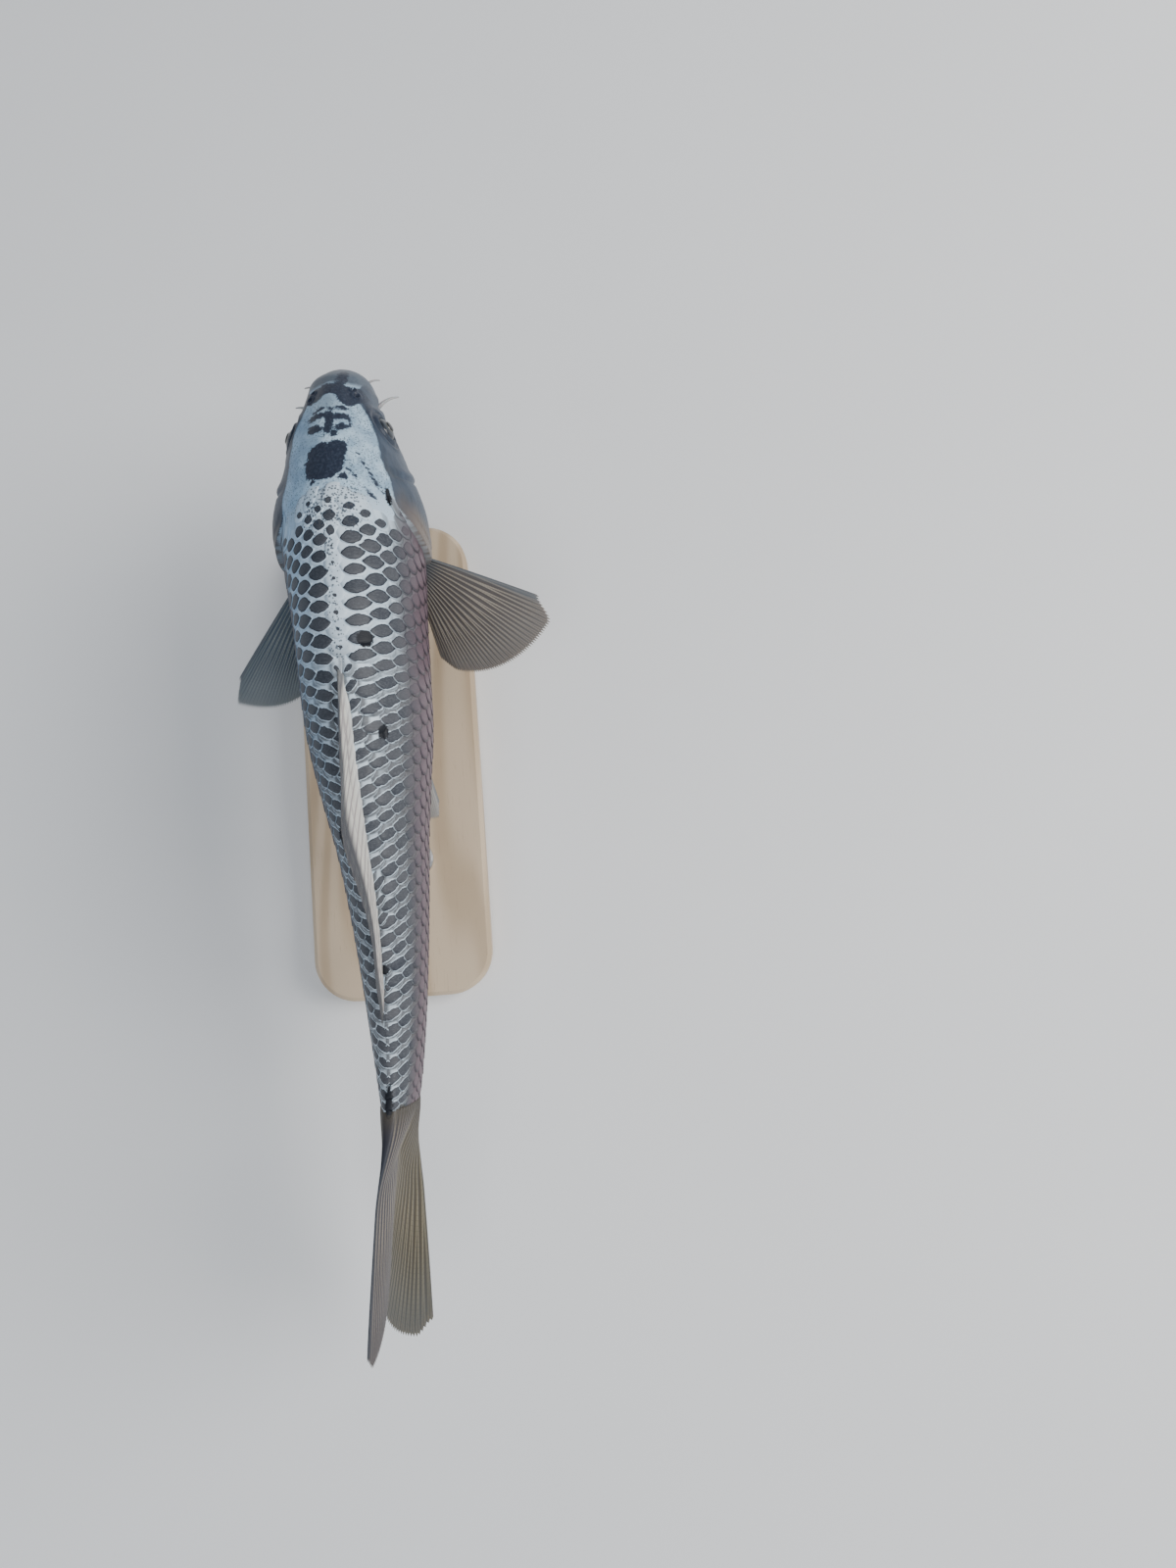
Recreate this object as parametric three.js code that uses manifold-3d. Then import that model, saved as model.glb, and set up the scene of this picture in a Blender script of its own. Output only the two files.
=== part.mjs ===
// Koi carp, life size, held over a flat wooden base by two steel rods.
// Millimetres. The head points to -Y, the tail to +Y, the back to +Z and the fish's left side to +X.
// The origin is the middle of the base's underside.
import * as THREE from 'three';
import { mergeVertices } from 'three/addons/utils/BufferGeometryUtils.js';
import Module from 'manifold-3d';

const wasm = await Module();
wasm.setup();

// ---------------------------------------------------------------- driving dimensions
const GAP = 0.3;                  // clearance between pieces that touch
const SNOUT_TO_ORIGIN = 172;      // distance from the snout back to the middle of the base
const AXIS_HEIGHT = 106;          // height of the body's middle line over the table
const HEAD_LENGTH = 88;           // snout to the cut behind the head
const TRUNK_MIDDLE = 190;         // cut between the two trunk lengths
const STEM_START = 272;           // start of the tail stem
const STEM_END = 334;             // root of the tail fin
const TOTAL_LENGTH = 438;         // snout to the tip of the lower tail lobe
const SNOUT_ROUND = 10;           // length over which the snout rounds off
const BANK_FRONT = 1;             // degrees that the back leans to the fish's left
const BANK_TAIL = 6;              // the same at the tail tip
const BODY_SIDES = 36;            // facets round the body
const UPPER_ROUNDNESS = 1.95;     // superellipse exponent over the widest line
const LOWER_ROUNDNESS = 2.2;      // the same under it

// Body stations: distance from the snout, half width, top, bottom and height of the widest line.
const BODY = [
  [0, 13, 0, -17, -9],
  [10, 14.8, 8.5, -21.5, -8],
  [20, 17.4, 15.5, -25, -7],
  [32, 21.2, 22, -29, -5],
  [48, 26.6, 29, -34, -3.5],
  [64, 30.2, 35.5, -38.5, -2],
  [80, 31.8, 41, -42, -1],
  [100, 31, 45, -45.5, 0],
  [125, 29.2, 47.8, -48, 0],
  [150, 28.2, 48.5, -48.5, 0],
  [175, 26.9, 47, -46.5, 0],
  [200, 23.3, 43.5, -43, 1],
  [225, 19.4, 38.5, -37.5, 1.5],
  [250, 16.8, 33, -31.5, 2],
  [275, 14.4, 28, -26.5, 1.5],
  [300, 11.9, 24.5, -23, 1],
  [320, 9.4, 23, -22, 0.5],
  [334, 7, 23.5, -23, 0],
  [438, 7, 23.5, -23, 0],
];

// How far the middle line bends to the fish's right, by distance from the snout.
const BEND = [
  [0, 0], [50, 1.6], [100, 4.4], [188, 7.6], [242, 11], [288, 12], [333, 11.2], [380, 8], [438, 3],
];

const EYE = { at: 37, angle: 22, length: 6.2, height: 6, depth: 4.4, sunk: 1.5 };
const GILL_COVER = { front: 48, rear: 95, top: 42, bottom: -62, thin: 0.6, thick: 3.4 };
const NOSTRIL = { at: 19, angle: 58, radius: 1.6 };
const MOUTH = { drop: -13, reach: 12, half: 12.5, gape: 0.7 };
const BASE = { length: 250, width: 92, thickness: 12, corner: 22, bevel: 2 };
const ROD = { radius: 3.5, stations: [108, 226], flange: 9, flangeHeight: 3 };

// ---------------------------------------------------------------- colours
const COLOUR = {
  head: 0xdfe4e4,
  back: 0x77828f,
  rear: 0x6f7a86,
  fin: 0x9c9684,
  tail: 0x8f8672,
  eye: 0x2a2c2e,
  barbel: 0xb9bdbd,
  wood: 0xd9cdb8,
  steel: 0xb8bcc0,
};

// ---------------------------------------------------------------- small helpers
const RAD = Math.PI / 180;
const lerp = (a, b, t) => a + (b - a) * t;
const clamp01 = (t) => Math.min(1, Math.max(0, t));
const smooth = (t) => clamp01(t) ** 2 * (3 - 2 * clamp01(t));

// Smooth curve through rows of [place, value, ...], read in one column.
function along(rows, column, place) {
  const last = rows.length - 1;
  let i = 0;
  while (i < last - 1 && place > rows[i + 1][0]) i += 1;
  const slope = (k) => {
    const a = rows[Math.max(0, k - 1)];
    const b = rows[Math.min(last, k + 1)];
    return (b[column] - a[column]) / (b[0] - a[0]);
  };
  const span = rows[i + 1][0] - rows[i][0];
  const t = clamp01((place - rows[i][0]) / span);
  const rise = rows[i + 1][column] - rows[i][column];
  const bulge = t * (1 - t) * ((1 - t) * (slope(i) * span - rise) - t * (slope(i + 1) * span - rise));
  return rows[i][column] + rise * t + bulge;
}

// Places a point given by its distance from the snout, its offset to the left and its height over the
// middle line: rolls it by the bank, then turns and shifts it along the bent middle line.
function pose(s, left, up) {
  const bank = lerp(BANK_FRONT, BANK_TAIL, smooth((s - 240) / (TOTAL_LENGTH - 240))) * RAD;
  const step = 4;
  const turn = Math.atan2(along(BEND, 1, s + step) - along(BEND, 1, s - step), 2 * step);
  const x = left * Math.cos(bank) + up * Math.sin(bank);
  const z = up * Math.cos(bank) - left * Math.sin(bank);
  return new THREE.Vector3(
    x * Math.cos(turn) - along(BEND, 1, s),
    s - SNOUT_TO_ORIGIN + x * Math.sin(turn),
    z + AXIS_HEIGHT,
  );
}

// Section of the body before it is posed: angle 0 is the left side, 90 the back, -90 the belly.
function section(s, angle, extra = 0) {
  const rounding = Math.sqrt(1 - (1 - clamp01((s + extra) / SNOUT_ROUND)) ** 2);
  const middle = along(BODY, 4, s);
  const c = Math.cos(angle * RAD);
  const n = Math.sin(angle * RAD);
  const reach = n > 0 ? along(BODY, 2, s) - middle : middle - along(BODY, 3, s);
  const power = 2 / (n > 0 ? UPPER_ROUNDNESS : LOWER_ROUNDNESS);
  const left = (along(BODY, 1, s) * rounding + extra) * Math.sign(c) * Math.abs(c) ** power;
  const up = middle + (reach * rounding + extra) * Math.sign(n) * Math.abs(n) ** power;
  return [left, up];
}

const bodyPoint = (s, angle, extra = 0) => pose(s, ...section(s, angle, extra));

// Outward direction of the body's side at a place.
function bodyNormal(s, angle) {
  const d = 1;
  const forward = bodyPoint(s + d, angle).sub(bodyPoint(s - d, angle));
  const round = bodyPoint(s, angle + d).sub(bodyPoint(s, angle - d));
  return forward.cross(round).normalize();
}

// ---------------------------------------------------------------- solids and booleans
function toSolid(geometry) {
  const bare = geometry.clone();
  bare.deleteAttribute('normal');
  bare.deleteAttribute('uv');
  const merged = mergeVertices(bare, 1e-4);
  const index = merged.index.array;
  const whole = [];
  for (let i = 0; i < index.length; i += 3) {
    const [a, b, c] = [index[i], index[i + 1], index[i + 2]];
    if (a !== b && b !== c && c !== a) whole.push(a, b, c);
  }
  const mesh = new wasm.Mesh({
    numProp: 3,
    vertProperties: new Float32Array(merged.attributes.position.array),
    triVerts: new Uint32Array(whole),
  });
  return new wasm.Manifold(mesh);
}

function toGeometry(solid) {
  const mesh = solid.getMesh();
  const geometry = new THREE.BufferGeometry();
  geometry.setAttribute('position', new THREE.BufferAttribute(new Float32Array(mesh.vertProperties), 3));
  geometry.setIndex(new THREE.BufferAttribute(new Uint32Array(mesh.triVerts), 1));
  return geometry;
}

function moveVertices(geometry, move) {
  const position = geometry.attributes.position;
  for (let i = 0; i < position.count; i += 1) {
    const p = move(position.getX(i), position.getY(i), position.getZ(i));
    position.setXYZ(i, p.x, p.y, p.z);
  }
  return geometry;
}

const model = new THREE.Group();

function add(name, geometry, colour, roughness = 0.4, metalness = 0) {
  const material = new THREE.MeshStandardMaterial({ color: colour, roughness, metalness });
  const mesh = new THREE.Mesh(geometry, material);
  mesh.name = name;
  model.add(mesh);
  return mesh;
}

// ---------------------------------------------------------------- body lengths
// A closed length of the body between two stations, with flat ends across the middle line.
function bodyLength(from, to, rings, extra = 0, crowd = 1) {
  const tube = new THREE.CylinderGeometry(1, 1, 1, BODY_SIDES, rings);
  return moveVertices(tube, (x, y, z) => {
    const s = lerp(from, to, (0.5 - y) ** crowd);
    const reach = Math.hypot(x, z);
    const [left, up] = section(s, Math.atan2(-z, x) / RAD, extra);
    const middle = along(BODY, 4, s);
    return pose(s, left * reach, lerp(middle, up, reach));
  });
}

const grownBody = toSolid(bodyLength(-GAP * 0.9, STEM_END + 0.1, 96, GAP, 1.25));

// A rounded pad on a place of the body: an ellipsoid turned to the surface.
function padOnBody(s, angle, sizes, sunk, segments) {
  const normal = bodyNormal(s, angle);
  const tailward = bodyPoint(s + 1, angle).sub(bodyPoint(s - 1, angle));
  tailward.addScaledVector(normal, -tailward.dot(normal)).normalize();
  const frame = new THREE.Matrix4().makeBasis(tailward, normal.clone().cross(tailward), normal);
  frame.scale(new THREE.Vector3(...sizes));
  frame.setPosition(bodyPoint(s, angle).addScaledVector(normal, -sunk));
  return new THREE.SphereGeometry(1, segments, Math.round(segments * 0.7)).applyMatrix4(frame);
}

const sideAngle = (angle, left) => (left ? angle : 180 - angle);

function eye(left, grow) {
  const sizes = [EYE.length + grow, EYE.height + grow, EYE.depth + grow];
  return padOnBody(EYE.at, sideAngle(EYE.angle, left), sizes, EYE.sunk, 13);
}

function nostril(left) {
  const r = NOSTRIL.radius;
  return padOnBody(NOSTRIL.at, sideAngle(NOSTRIL.angle, left), [r * 1.3, r, r * 0.8], 0, 8);
}

// The closed mouth's parting line, a thin curved slot across the front of the snout.
function mouthSlot() {
  const slot = new THREE.BoxGeometry(1, 1, 1, 10, 4, 1);
  return moveVertices(slot, (x, y, z) => {
    const left = x * 2 * (MOUTH.half + 6);
    const droop = 3.4 * (left / MOUTH.half) ** 2;
    const s = lerp(-4, MOUTH.reach, y + 0.5) - 0.02 * left ** 2;
    return pose(s, left, MOUTH.drop - droop + z * MOUTH.gape * 2);
  });
}

function makeHead() {
  let head = toSolid(bodyLength(0.12, HEAD_LENGTH - GAP / 2, 18, 0, 1.5));
  for (const left of [true, false]) {
    head = head.subtract(toSolid(eye(left, GAP)));
    head = head.subtract(toSolid(nostril(left)));
  }
  return toGeometry(head.subtract(toSolid(mouthSlot())));
}

// ---------------------------------------------------------------- thin plates: fins and gill covers
// Bends a box into a plate: at(u, v) gives the middle sheet and thick(u, v) its thickness.
function plate(columns, rows, at, thick) {
  const box = new THREE.BoxGeometry(1, 1, 1, columns, rows, 1);
  const d = 0.01;
  return moveVertices(box, (x, y, z) => {
    const u = x + 0.5;
    const v = y + 0.5;
    const du = at(Math.min(1, u + d), v).sub(at(Math.max(0, u - d), v));
    const dv = at(u, Math.min(1, v + d)).sub(at(u, Math.max(0, v - d)));
    const normal = du.cross(dv).normalize();
    return at(u, v).addScaledVector(normal, z * thick(u, v));
  });
}

// Fin thickness from root to rim, a little less at the first and last ray.
function finThickness(root, rim) {
  return (u, v) => lerp(root, rim, v ** 0.45) * lerp(1, 0.9, Math.abs(2 * u - 1));
}

// The largest body of a solid, for when a cut leaves crumbs.
function largest(solid) {
  const bodies = solid.decompose();
  return bodies.reduce((a, b) => (b.volume() > a.volume() ? b : a));
}

function cutByBody(geometry, others = []) {
  let fin = toSolid(geometry).subtract(grownBody);
  for (const other of others) fin = fin.subtract(other);
  return toGeometry(largest(fin));
}

// Outer shell of the cheek: thin at its front, raised along its rounded rear edge.
function gillCover(left, grow = 0) {
  const angleAt = (v) => lerp(GILL_COVER.bottom, GILL_COVER.top, v);
  const raised = (u, v) => {
    const raise = smooth(u ** 0.8) * smooth(Math.min(v, 1 - v) * 4 + 0.25);
    return lerp(GILL_COVER.thin, GILL_COVER.thick, raise);
  };
  const at = (u, v) => {
    const round = Math.sqrt(1 - 0.94 * (2 * v - 1) ** 2);
    const front = GILL_COVER.front + 16 * (1 - round);
    const s = lerp(front - grow, lerp(GILL_COVER.front + 20, GILL_COVER.rear, round) + grow, u);
    return bodyPoint(s, sideAngle(angleAt(v), left), GAP + 0.5 * raised(u, v));
  };
  const thick = (u, v) => raised(u, v) + 2 * grow;
  return plate(8, 9, left ? (u, v) => at(u, 1 - v) : at, thick);
}

// ---------------------------------------------------------------- fins
// Dorsal fin: half folded, its rays raked back along the whole base. Its front half leans left, and its root
// starts a little to the left of the middle line and then crosses to its right.
const DORSAL = { from: 150, to: 284, sink: 2.5, front: 42, rear: 31, lean: 6.2, left: 1.5, right: 1.3 };

function dorsalFin() {
  const at = (u, v) => {
    const base = lerp(DORSAL.from, DORSAL.to, u);
    const rake = lerp(66, 78, smooth(u * 1.7)) * RAD;
    const full = lerp(DORSAL.front, DORSAL.rear, smooth(u * 1.25)) * lerp(0.62, 1, smooth(u * 9));
    const reach = v * (full - 14 * smooth((u - 0.72) * 3.6));
    const s = base + reach * Math.sin(rake);
    const up = along(BODY, 2, base) - DORSAL.sink + reach * Math.cos(rake);
    const upright = 1 - 0.88 * smooth((u - 0.22) / 0.5);
    const lean = DORSAL.lean * smooth(u * 2.8) * upright + 0.6 * Math.sin(u * 9);
    const behind = smooth(u / 0.15);
    const root = DORSAL.right * behind * (1 - smooth((u - 0.3) / 0.3));
    return pose(s, v * lean + DORSAL.left * (1 - behind) - (1 - v) * root, up);
  };
  return plate(18, 3, at, finThickness(2.4, 0.7));
}

// Anal fin: short base, half folded back.
const ANAL = { from: 247, to: 270, sink: 2.5 };

function analFin() {
  const at = (u, v) => {
    const base = lerp(ANAL.from, ANAL.to, u);
    const rake = lerp(52, 66, u) * RAD;
    const long = lerp(46, 24, smooth(u * 1.15)) * lerp(0.75, 1, smooth(u * 6));
    const reach = v * long;
    const s = base + reach * Math.sin(rake);
    const up = along(BODY, 3, base) + ANAL.sink - reach * Math.cos(rake);
    return pose(s, 0.03 * reach + 0.6 * v * Math.sin(u * 6), up);
  };
  return plate(9, 5, at, finThickness(2.4, 0.7));
}

// Tail fin: two broad lobes that part at the middle ray, with a fleshy root as thick as the stem.
const CAUDAL = { fork: 58, span: 42, root: 21.5, fleshy: 13.2 };
const UPPER_LOBE = { side: 1, long: 97, fullness: 1.5, twist: [4, -18, 14], swing: 3.4 };
const LOWER_LOBE = { side: -1, long: 111, fullness: 2, twist: [4, 36, -46], swing: -2.5 };

// The thickness is laid off to the left and right, so the lobes keep their gap at the fork.
function caudalLobe(lobe) {
  const place = (out, v, offset) => {
    const edge = lerp(CAUDAL.fork, lobe.long, 1 - (1 - out) ** lobe.fullness);
    const reach = edge * (1 - 0.06 * smooth((out - 0.86) * 7));
    const twist = lobe.twist[0] + lobe.twist[1] * out + lobe.twist[2] * out ** 2;
    const swing = lobe.swing * smooth((v - 0.1) * 3) * (1 - v) * out;
    const fan = v * (1 + 0.35 * (1 - v) * out);
    const height = lerp(CAUDAL.root * out, CAUDAL.span * out ** 0.92, fan) + GAP / 2;
    const left = twist * v ** 1.5 * smooth(v * 3.5) + swing + offset;
    return pose(STEM_END + GAP / 2 + v * reach, left, lobe.side * height);
  };
  const thick = (out, v) => {
    const end = Math.sqrt(1 - 0.93 * out ** 2);
    const fleshy = CAUDAL.fleshy * (1 - smooth(v / 0.33)) * end;
    return Math.max(1.1, 1.5 * (1 - v) * end + fleshy);
  };
  const box = new THREE.BoxGeometry(1, 1, 1, 9, 11, 1);
  return moveVertices(box, (x, y, z) => {
    const out = x + 0.5;
    const v = y + 0.5;
    return place(out, v, -lobe.side * z * thick(out, v));
  });
}

// Paired fins: rays fan out from a short root. Directions are [tailward, outward, up] in millimetres.
function pairedFin(left, fin) {
  const side = left ? 1 : -1;
  const at = (u, v) => {
    const fan = fin.rays(u);
    const droop = fin.droop * v * v;
    const wave = fin.wave * v * Math.sin(u * 7);
    const s = lerp(fin.root[0][0], fin.root[1][0], u) + v * fan[0];
    const out = lerp(fin.root[0][1], fin.root[1][1], u) + v * fan[1];
    const up = lerp(fin.root[0][2], fin.root[1][2], u) + v * fan[2] - droop + wave;
    return pose(s, side * out, up);
  };
  return plate(10, 6, left ? at : (u, v) => at(1 - u, v), finThickness(2.6, 0.7));
}

// Rays between a leading and a trailing direction, rounded along the rim.
function fanOfRays(lead, trail, leadLength, trailLength, fullness) {
  return (u) => {
    const angle = lerp(lead, trail, u) * RAD;
    const corner = 1 - 0.16 * smooth(1 - u * 7) - 0.1 * smooth((u - 0.86) * 7);
    const long = (lerp(leadLength, trailLength, u) + fullness * Math.sin(u * Math.PI)) * corner;
    return [long * Math.cos(angle), long * Math.sin(angle)];
  };
}

const leftPectoralFan = fanOfRays(38.5, 9, 77, 37, 7);
const rightPectoralFan = fanOfRays(66, 11, 70, 38, 6);
const pelvicFan = fanOfRays(8, -5, 46, 32, 3);

const LEFT_PECTORAL = {
  root: [[84, 27.5, -26], [97, 23, -34]],
  rays: (u) => [...leftPectoralFan(u), lerp(-5, -9, u)],
  droop: 3,
  wave: 1,
};
const RIGHT_PECTORAL = {
  root: [[87, 26.5, -26], [99, 22, -34]],
  rays: (u) => [...rightPectoralFan(u), lerp(-2, -9, u)],
  droop: 4,
  wave: 1,
};
const PELVIC = {
  root: [[164, 14, -36], [172, 8.5, -40]],
  rays: (u) => [...pelvicFan(u), lerp(-19, -8, u)],
  droop: 1,
  wave: 0.6,
};

// ---------------------------------------------------------------- barbels
// A tapering feeler from the lip, curved from its root towards its tip.
function barbel(left, feeler) {
  const side = left ? 1 : -1;
  const rod = new THREE.CylinderGeometry(1, 1, 1, 6, 7);
  const at = (t) => {
    const [s0, out0, up0] = feeler.root;
    const [s1, out1, up1] = feeler.tip;
    const sag = feeler.sag * Math.sin(t * Math.PI);
    return pose(lerp(s0, s1, t) - sag, side * lerp(out0, out1, t), lerp(up0, up1, t) + sag * 0.6);
  };
  return moveVertices(rod, (x, y, z) => {
    const t = y + 0.5;
    const centre = at(t);
    const forward = at(t + 0.02).sub(at(t - 0.02)).normalize();
    const across = new THREE.Vector3(0, 0, 1).cross(forward).normalize();
    const radius = lerp(feeler.thick, 0.3, t ** 0.8);
    const upward = across.clone().cross(forward);
    return centre.addScaledVector(across, x * radius).addScaledVector(upward, z * radius);
  });
}

const REAR_BARBEL = { root: [16.5, 14, -17.5], tip: [9.5, 25, -20], sag: 1.4, thick: 1.5 };
const FRONT_BARBEL = { root: [6.5, 12, -10], tip: [4.5, 18, -11.5], sag: 0.6, thick: 0.8 };

// ---------------------------------------------------------------- stand
function roundedBase() {
  const { length, width, thickness, corner, bevel } = BASE;
  const half = { x: width / 2 - bevel, y: length / 2 - bevel };
  const r = corner - bevel;
  const outline = new THREE.Shape();
  outline.moveTo(half.x, -half.y + r);
  outline.absarc(half.x - r, half.y - r, r, 0, Math.PI / 2);
  outline.absarc(-half.x + r, half.y - r, r, Math.PI / 2, Math.PI);
  outline.absarc(-half.x + r, -half.y + r, r, Math.PI, 1.5 * Math.PI);
  outline.absarc(half.x - r, -half.y + r, r, 1.5 * Math.PI, 2 * Math.PI);
  const slab = new THREE.ExtrudeGeometry(outline, {
    depth: thickness - 2 * bevel,
    bevelThickness: bevel,
    bevelSize: bevel,
    bevelSegments: 1,
    curveSegments: 6,
  });
  return slab.translate(0, 0, bevel);
}

// A rod with a low flange on the base, its top shaped to the belly.
function rod(s) {
  const { radius, flange, flangeHeight } = ROD;
  const foot = pose(s, 0, 0);
  const top = AXIS_HEIGHT - 10;
  const bottom = BASE.thickness + GAP;
  const profile = [
    [0, bottom], [flange, bottom], [flange, bottom + flangeHeight - 1], [flange - 1, bottom + flangeHeight],
    [radius, bottom + flangeHeight], [radius, top], [0, top],
  ].map(([r, z]) => new THREE.Vector2(r, z));
  const lathe = new THREE.LatheGeometry(profile, 18).rotateX(Math.PI / 2);
  return toGeometry(largest(toSolid(lathe.translate(foot.x, foot.y, 0)).subtract(grownBody)));
}

// ---------------------------------------------------------------- the fish
const cut = GAP / 2;
add('head', makeHead(), COLOUR.head, 0.35);
add('trunk_front', bodyLength(HEAD_LENGTH + cut, TRUNK_MIDDLE - cut, 7), COLOUR.back, 0.35);
add('trunk_rear', bodyLength(TRUNK_MIDDLE + cut, STEM_START - cut, 7), COLOUR.back, 0.35);
add('tail_stem', bodyLength(STEM_START + cut, STEM_END - cut, 6), COLOUR.rear, 0.35);
add('dorsal_fin', cutByBody(dorsalFin()), COLOUR.fin);
add('anal_fin', cutByBody(analFin()), COLOUR.fin);
add('caudal_fin_upper', toGeometry(toSolid(caudalLobe(UPPER_LOBE))), COLOUR.tail);
add('caudal_fin_lower', toGeometry(toSolid(caudalLobe(LOWER_LOBE))), COLOUR.tail);

for (const [sideName, left] of [['left', true], ['right', false]]) {
  const cover = gillCover(left);
  const clearCover = toSolid(gillCover(left, GAP));
  const pectoral = left ? LEFT_PECTORAL : RIGHT_PECTORAL;
  add(`eye_${sideName}`, eye(left, 0), COLOUR.eye, 0.1);
  add(`gill_cover_${sideName}`, toGeometry(toSolid(cover)), COLOUR.head, 0.35);
  add(`barbel_front_${sideName}`, cutByBody(barbel(left, FRONT_BARBEL)), COLOUR.barbel);
  add(`barbel_rear_${sideName}`, cutByBody(barbel(left, REAR_BARBEL)), COLOUR.barbel);
  add(`pectoral_fin_${sideName}`, cutByBody(pairedFin(left, pectoral), [clearCover]), COLOUR.fin);
  add(`pelvic_fin_${sideName}`, cutByBody(pairedFin(left, PELVIC)), COLOUR.fin);
}

// ---------------------------------------------------------------- the stand
add('stand_base', roundedBase(), COLOUR.wood, 0.6);
add('stand_rod_front', rod(ROD.stations[0]), COLOUR.steel, 0.3, 1);
add('stand_rod_rear', rod(ROD.stations[1]), COLOUR.steel, 0.3, 1);

export default model;
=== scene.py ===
"""Koi carp, life size, on a display stand: skin, scales, rayed fins, eyes and feelers over the solids."""
import math

import bmesh
import bpy
import numpy as np
from mathutils import Matrix, Vector


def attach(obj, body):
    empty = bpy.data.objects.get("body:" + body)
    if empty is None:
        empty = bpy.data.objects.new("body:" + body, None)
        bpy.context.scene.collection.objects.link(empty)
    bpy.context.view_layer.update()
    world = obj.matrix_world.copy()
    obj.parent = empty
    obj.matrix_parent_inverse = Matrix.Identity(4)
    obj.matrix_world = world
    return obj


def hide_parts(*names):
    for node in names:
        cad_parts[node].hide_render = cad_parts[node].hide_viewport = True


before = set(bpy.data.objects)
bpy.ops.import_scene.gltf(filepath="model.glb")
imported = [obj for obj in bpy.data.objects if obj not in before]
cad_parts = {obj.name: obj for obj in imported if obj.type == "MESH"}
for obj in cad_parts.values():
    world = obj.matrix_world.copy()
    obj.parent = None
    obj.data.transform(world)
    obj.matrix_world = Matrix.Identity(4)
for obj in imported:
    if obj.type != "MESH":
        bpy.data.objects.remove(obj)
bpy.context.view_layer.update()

MM = 0.001
RNG = np.random.default_rng(7)
SIDES = {"left": 1, "right": -1}

# ---------------------------------------------------------------- camera
NADIR = (-0.0975, 0.0865)      # floor point straight under the camera
CAMERA_HEIGHT = 0.605
CAMERA_TILT = math.radians(6.3)
CAMERA_TURN = math.radians(4.3)
LENS, SENSOR_WIDTH = 26.0, 36.0


def make_camera():
    """Looks down from above the tail half, tipped a little towards the head, which is at the top."""
    data = bpy.data.cameras.new("camera")
    data.lens = LENS
    data.sensor_width = SENSOR_WIDTH
    camera = bpy.data.objects.new("camera", data)
    bpy.context.scene.collection.objects.link(camera)
    turn_c, turn_s = math.cos(CAMERA_TURN), math.sin(CAMERA_TURN)
    tilt_c, tilt_s = math.cos(CAMERA_TILT), math.sin(CAMERA_TILT)
    right = (-turn_c, turn_s, 0)
    up = (-turn_s * tilt_c, -turn_c * tilt_c, tilt_s)
    back = (turn_s * tilt_s, turn_c * tilt_s, tilt_c)
    turn = Matrix((right, up, back)).transposed().to_4x4()
    camera.matrix_world = Matrix.Translation((*NADIR, CAMERA_HEIGHT)) @ turn
    bpy.context.scene.camera = camera


make_camera()

# ---------------------------------------------------------------- the fish's sizes, in millimetres
SNOUT_TO_ORIGIN = 172
AXIS_HEIGHT = 106
STEM_END = 334
SKIN_END = 350                 # the skin tapers over the tail fin's root
TOTAL_LENGTH = 438
SNOUT_ROUND = 10
BANK_FRONT, BANK_TAIL = 1, 6
UPPER_ROUNDNESS, LOWER_ROUNDNESS = 1.95, 2.2
COAT = 0.6                     # depth of the scale coat over the skin

# Body stations: distance from the snout, half width, top, bottom and height of the widest line.
BODY = [
    (0, 13, 0, -17, -9),
    (10, 14.8, 8.5, -21.5, -8),
    (20, 17.4, 15.5, -25, -7),
    (32, 21.2, 22, -29, -5),
    (48, 26.6, 29, -34, -3.5),
    (64, 30.2, 35.5, -38.5, -2),
    (80, 31.8, 41, -42, -1),
    (100, 31, 45, -45.5, 0),
    (125, 29.2, 47.8, -48, 0),
    (150, 28.2, 48.5, -48.5, 0),
    (175, 26.9, 47, -46.5, 0),
    (200, 23.3, 43.5, -43, 1),
    (225, 19.4, 38.5, -37.5, 1.5),
    (250, 16.8, 33, -31.5, 2),
    (275, 14.4, 28, -26.5, 1.5),
    (300, 11.9, 24.5, -23, 1),
    (320, 9.4, 23, -22, 0.5),
    (334, 7, 23.5, -23, 0),
    (344, 4.3, 23, -22.4, 0),
    (350, 0.8, 20.5, -20, 0),
    (438, 0.8, 20.5, -20, 0),
]
# How far the middle line bends to the fish's right.
BEND = [(0, 0), (50, 1.6), (100, 4.4), (188, 7.6), (242, 11), (288, 12), (333, 11.2), (380, 8), (438, 3)]
# Height of the lateral line of scales.
LATERAL = [(70, 16), (90, 12), (115, 6), (145, 2.5), (190, 1.5), (334, 0.5), (345, 0.5)]

EYE = {"at": 37.0, "angle": 22, "length": 6.2, "height": 6.0, "depth": 4.4, "sunk": 1.5}
GILL = {"front": 48, "rear": 95, "top": 42, "bottom": -62, "raise": 3.4}
NOSTRILS = [(18.6, 57, 1.0), (22.0, 54, 1.25)]     # distance from the snout, angle, radius
MOUTH_DROP, MOUTH_DROOP = -13, 0.030               # height of the parting line, and its fall to the sides
MOUTH_CORNER = 14.5


# ---------------------------------------------------------------- small maths
def smooth(t):
    """Eased step from 0 to 1."""
    t = np.clip(t, 0, 1)
    return t * t * (3 - 2 * t)


def bell(x, width):
    """Rounded bump of height 1."""
    return np.exp(-0.5 * (x / width) ** 2)


def between(x, start, rise, end, fall):
    """Eased window of height 1: up from the start, and back down to the end."""
    return smooth((x - start) / rise) * smooth((end - x) / fall)


def lerp(a, b, t):
    return a + (b - a) * t


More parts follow.
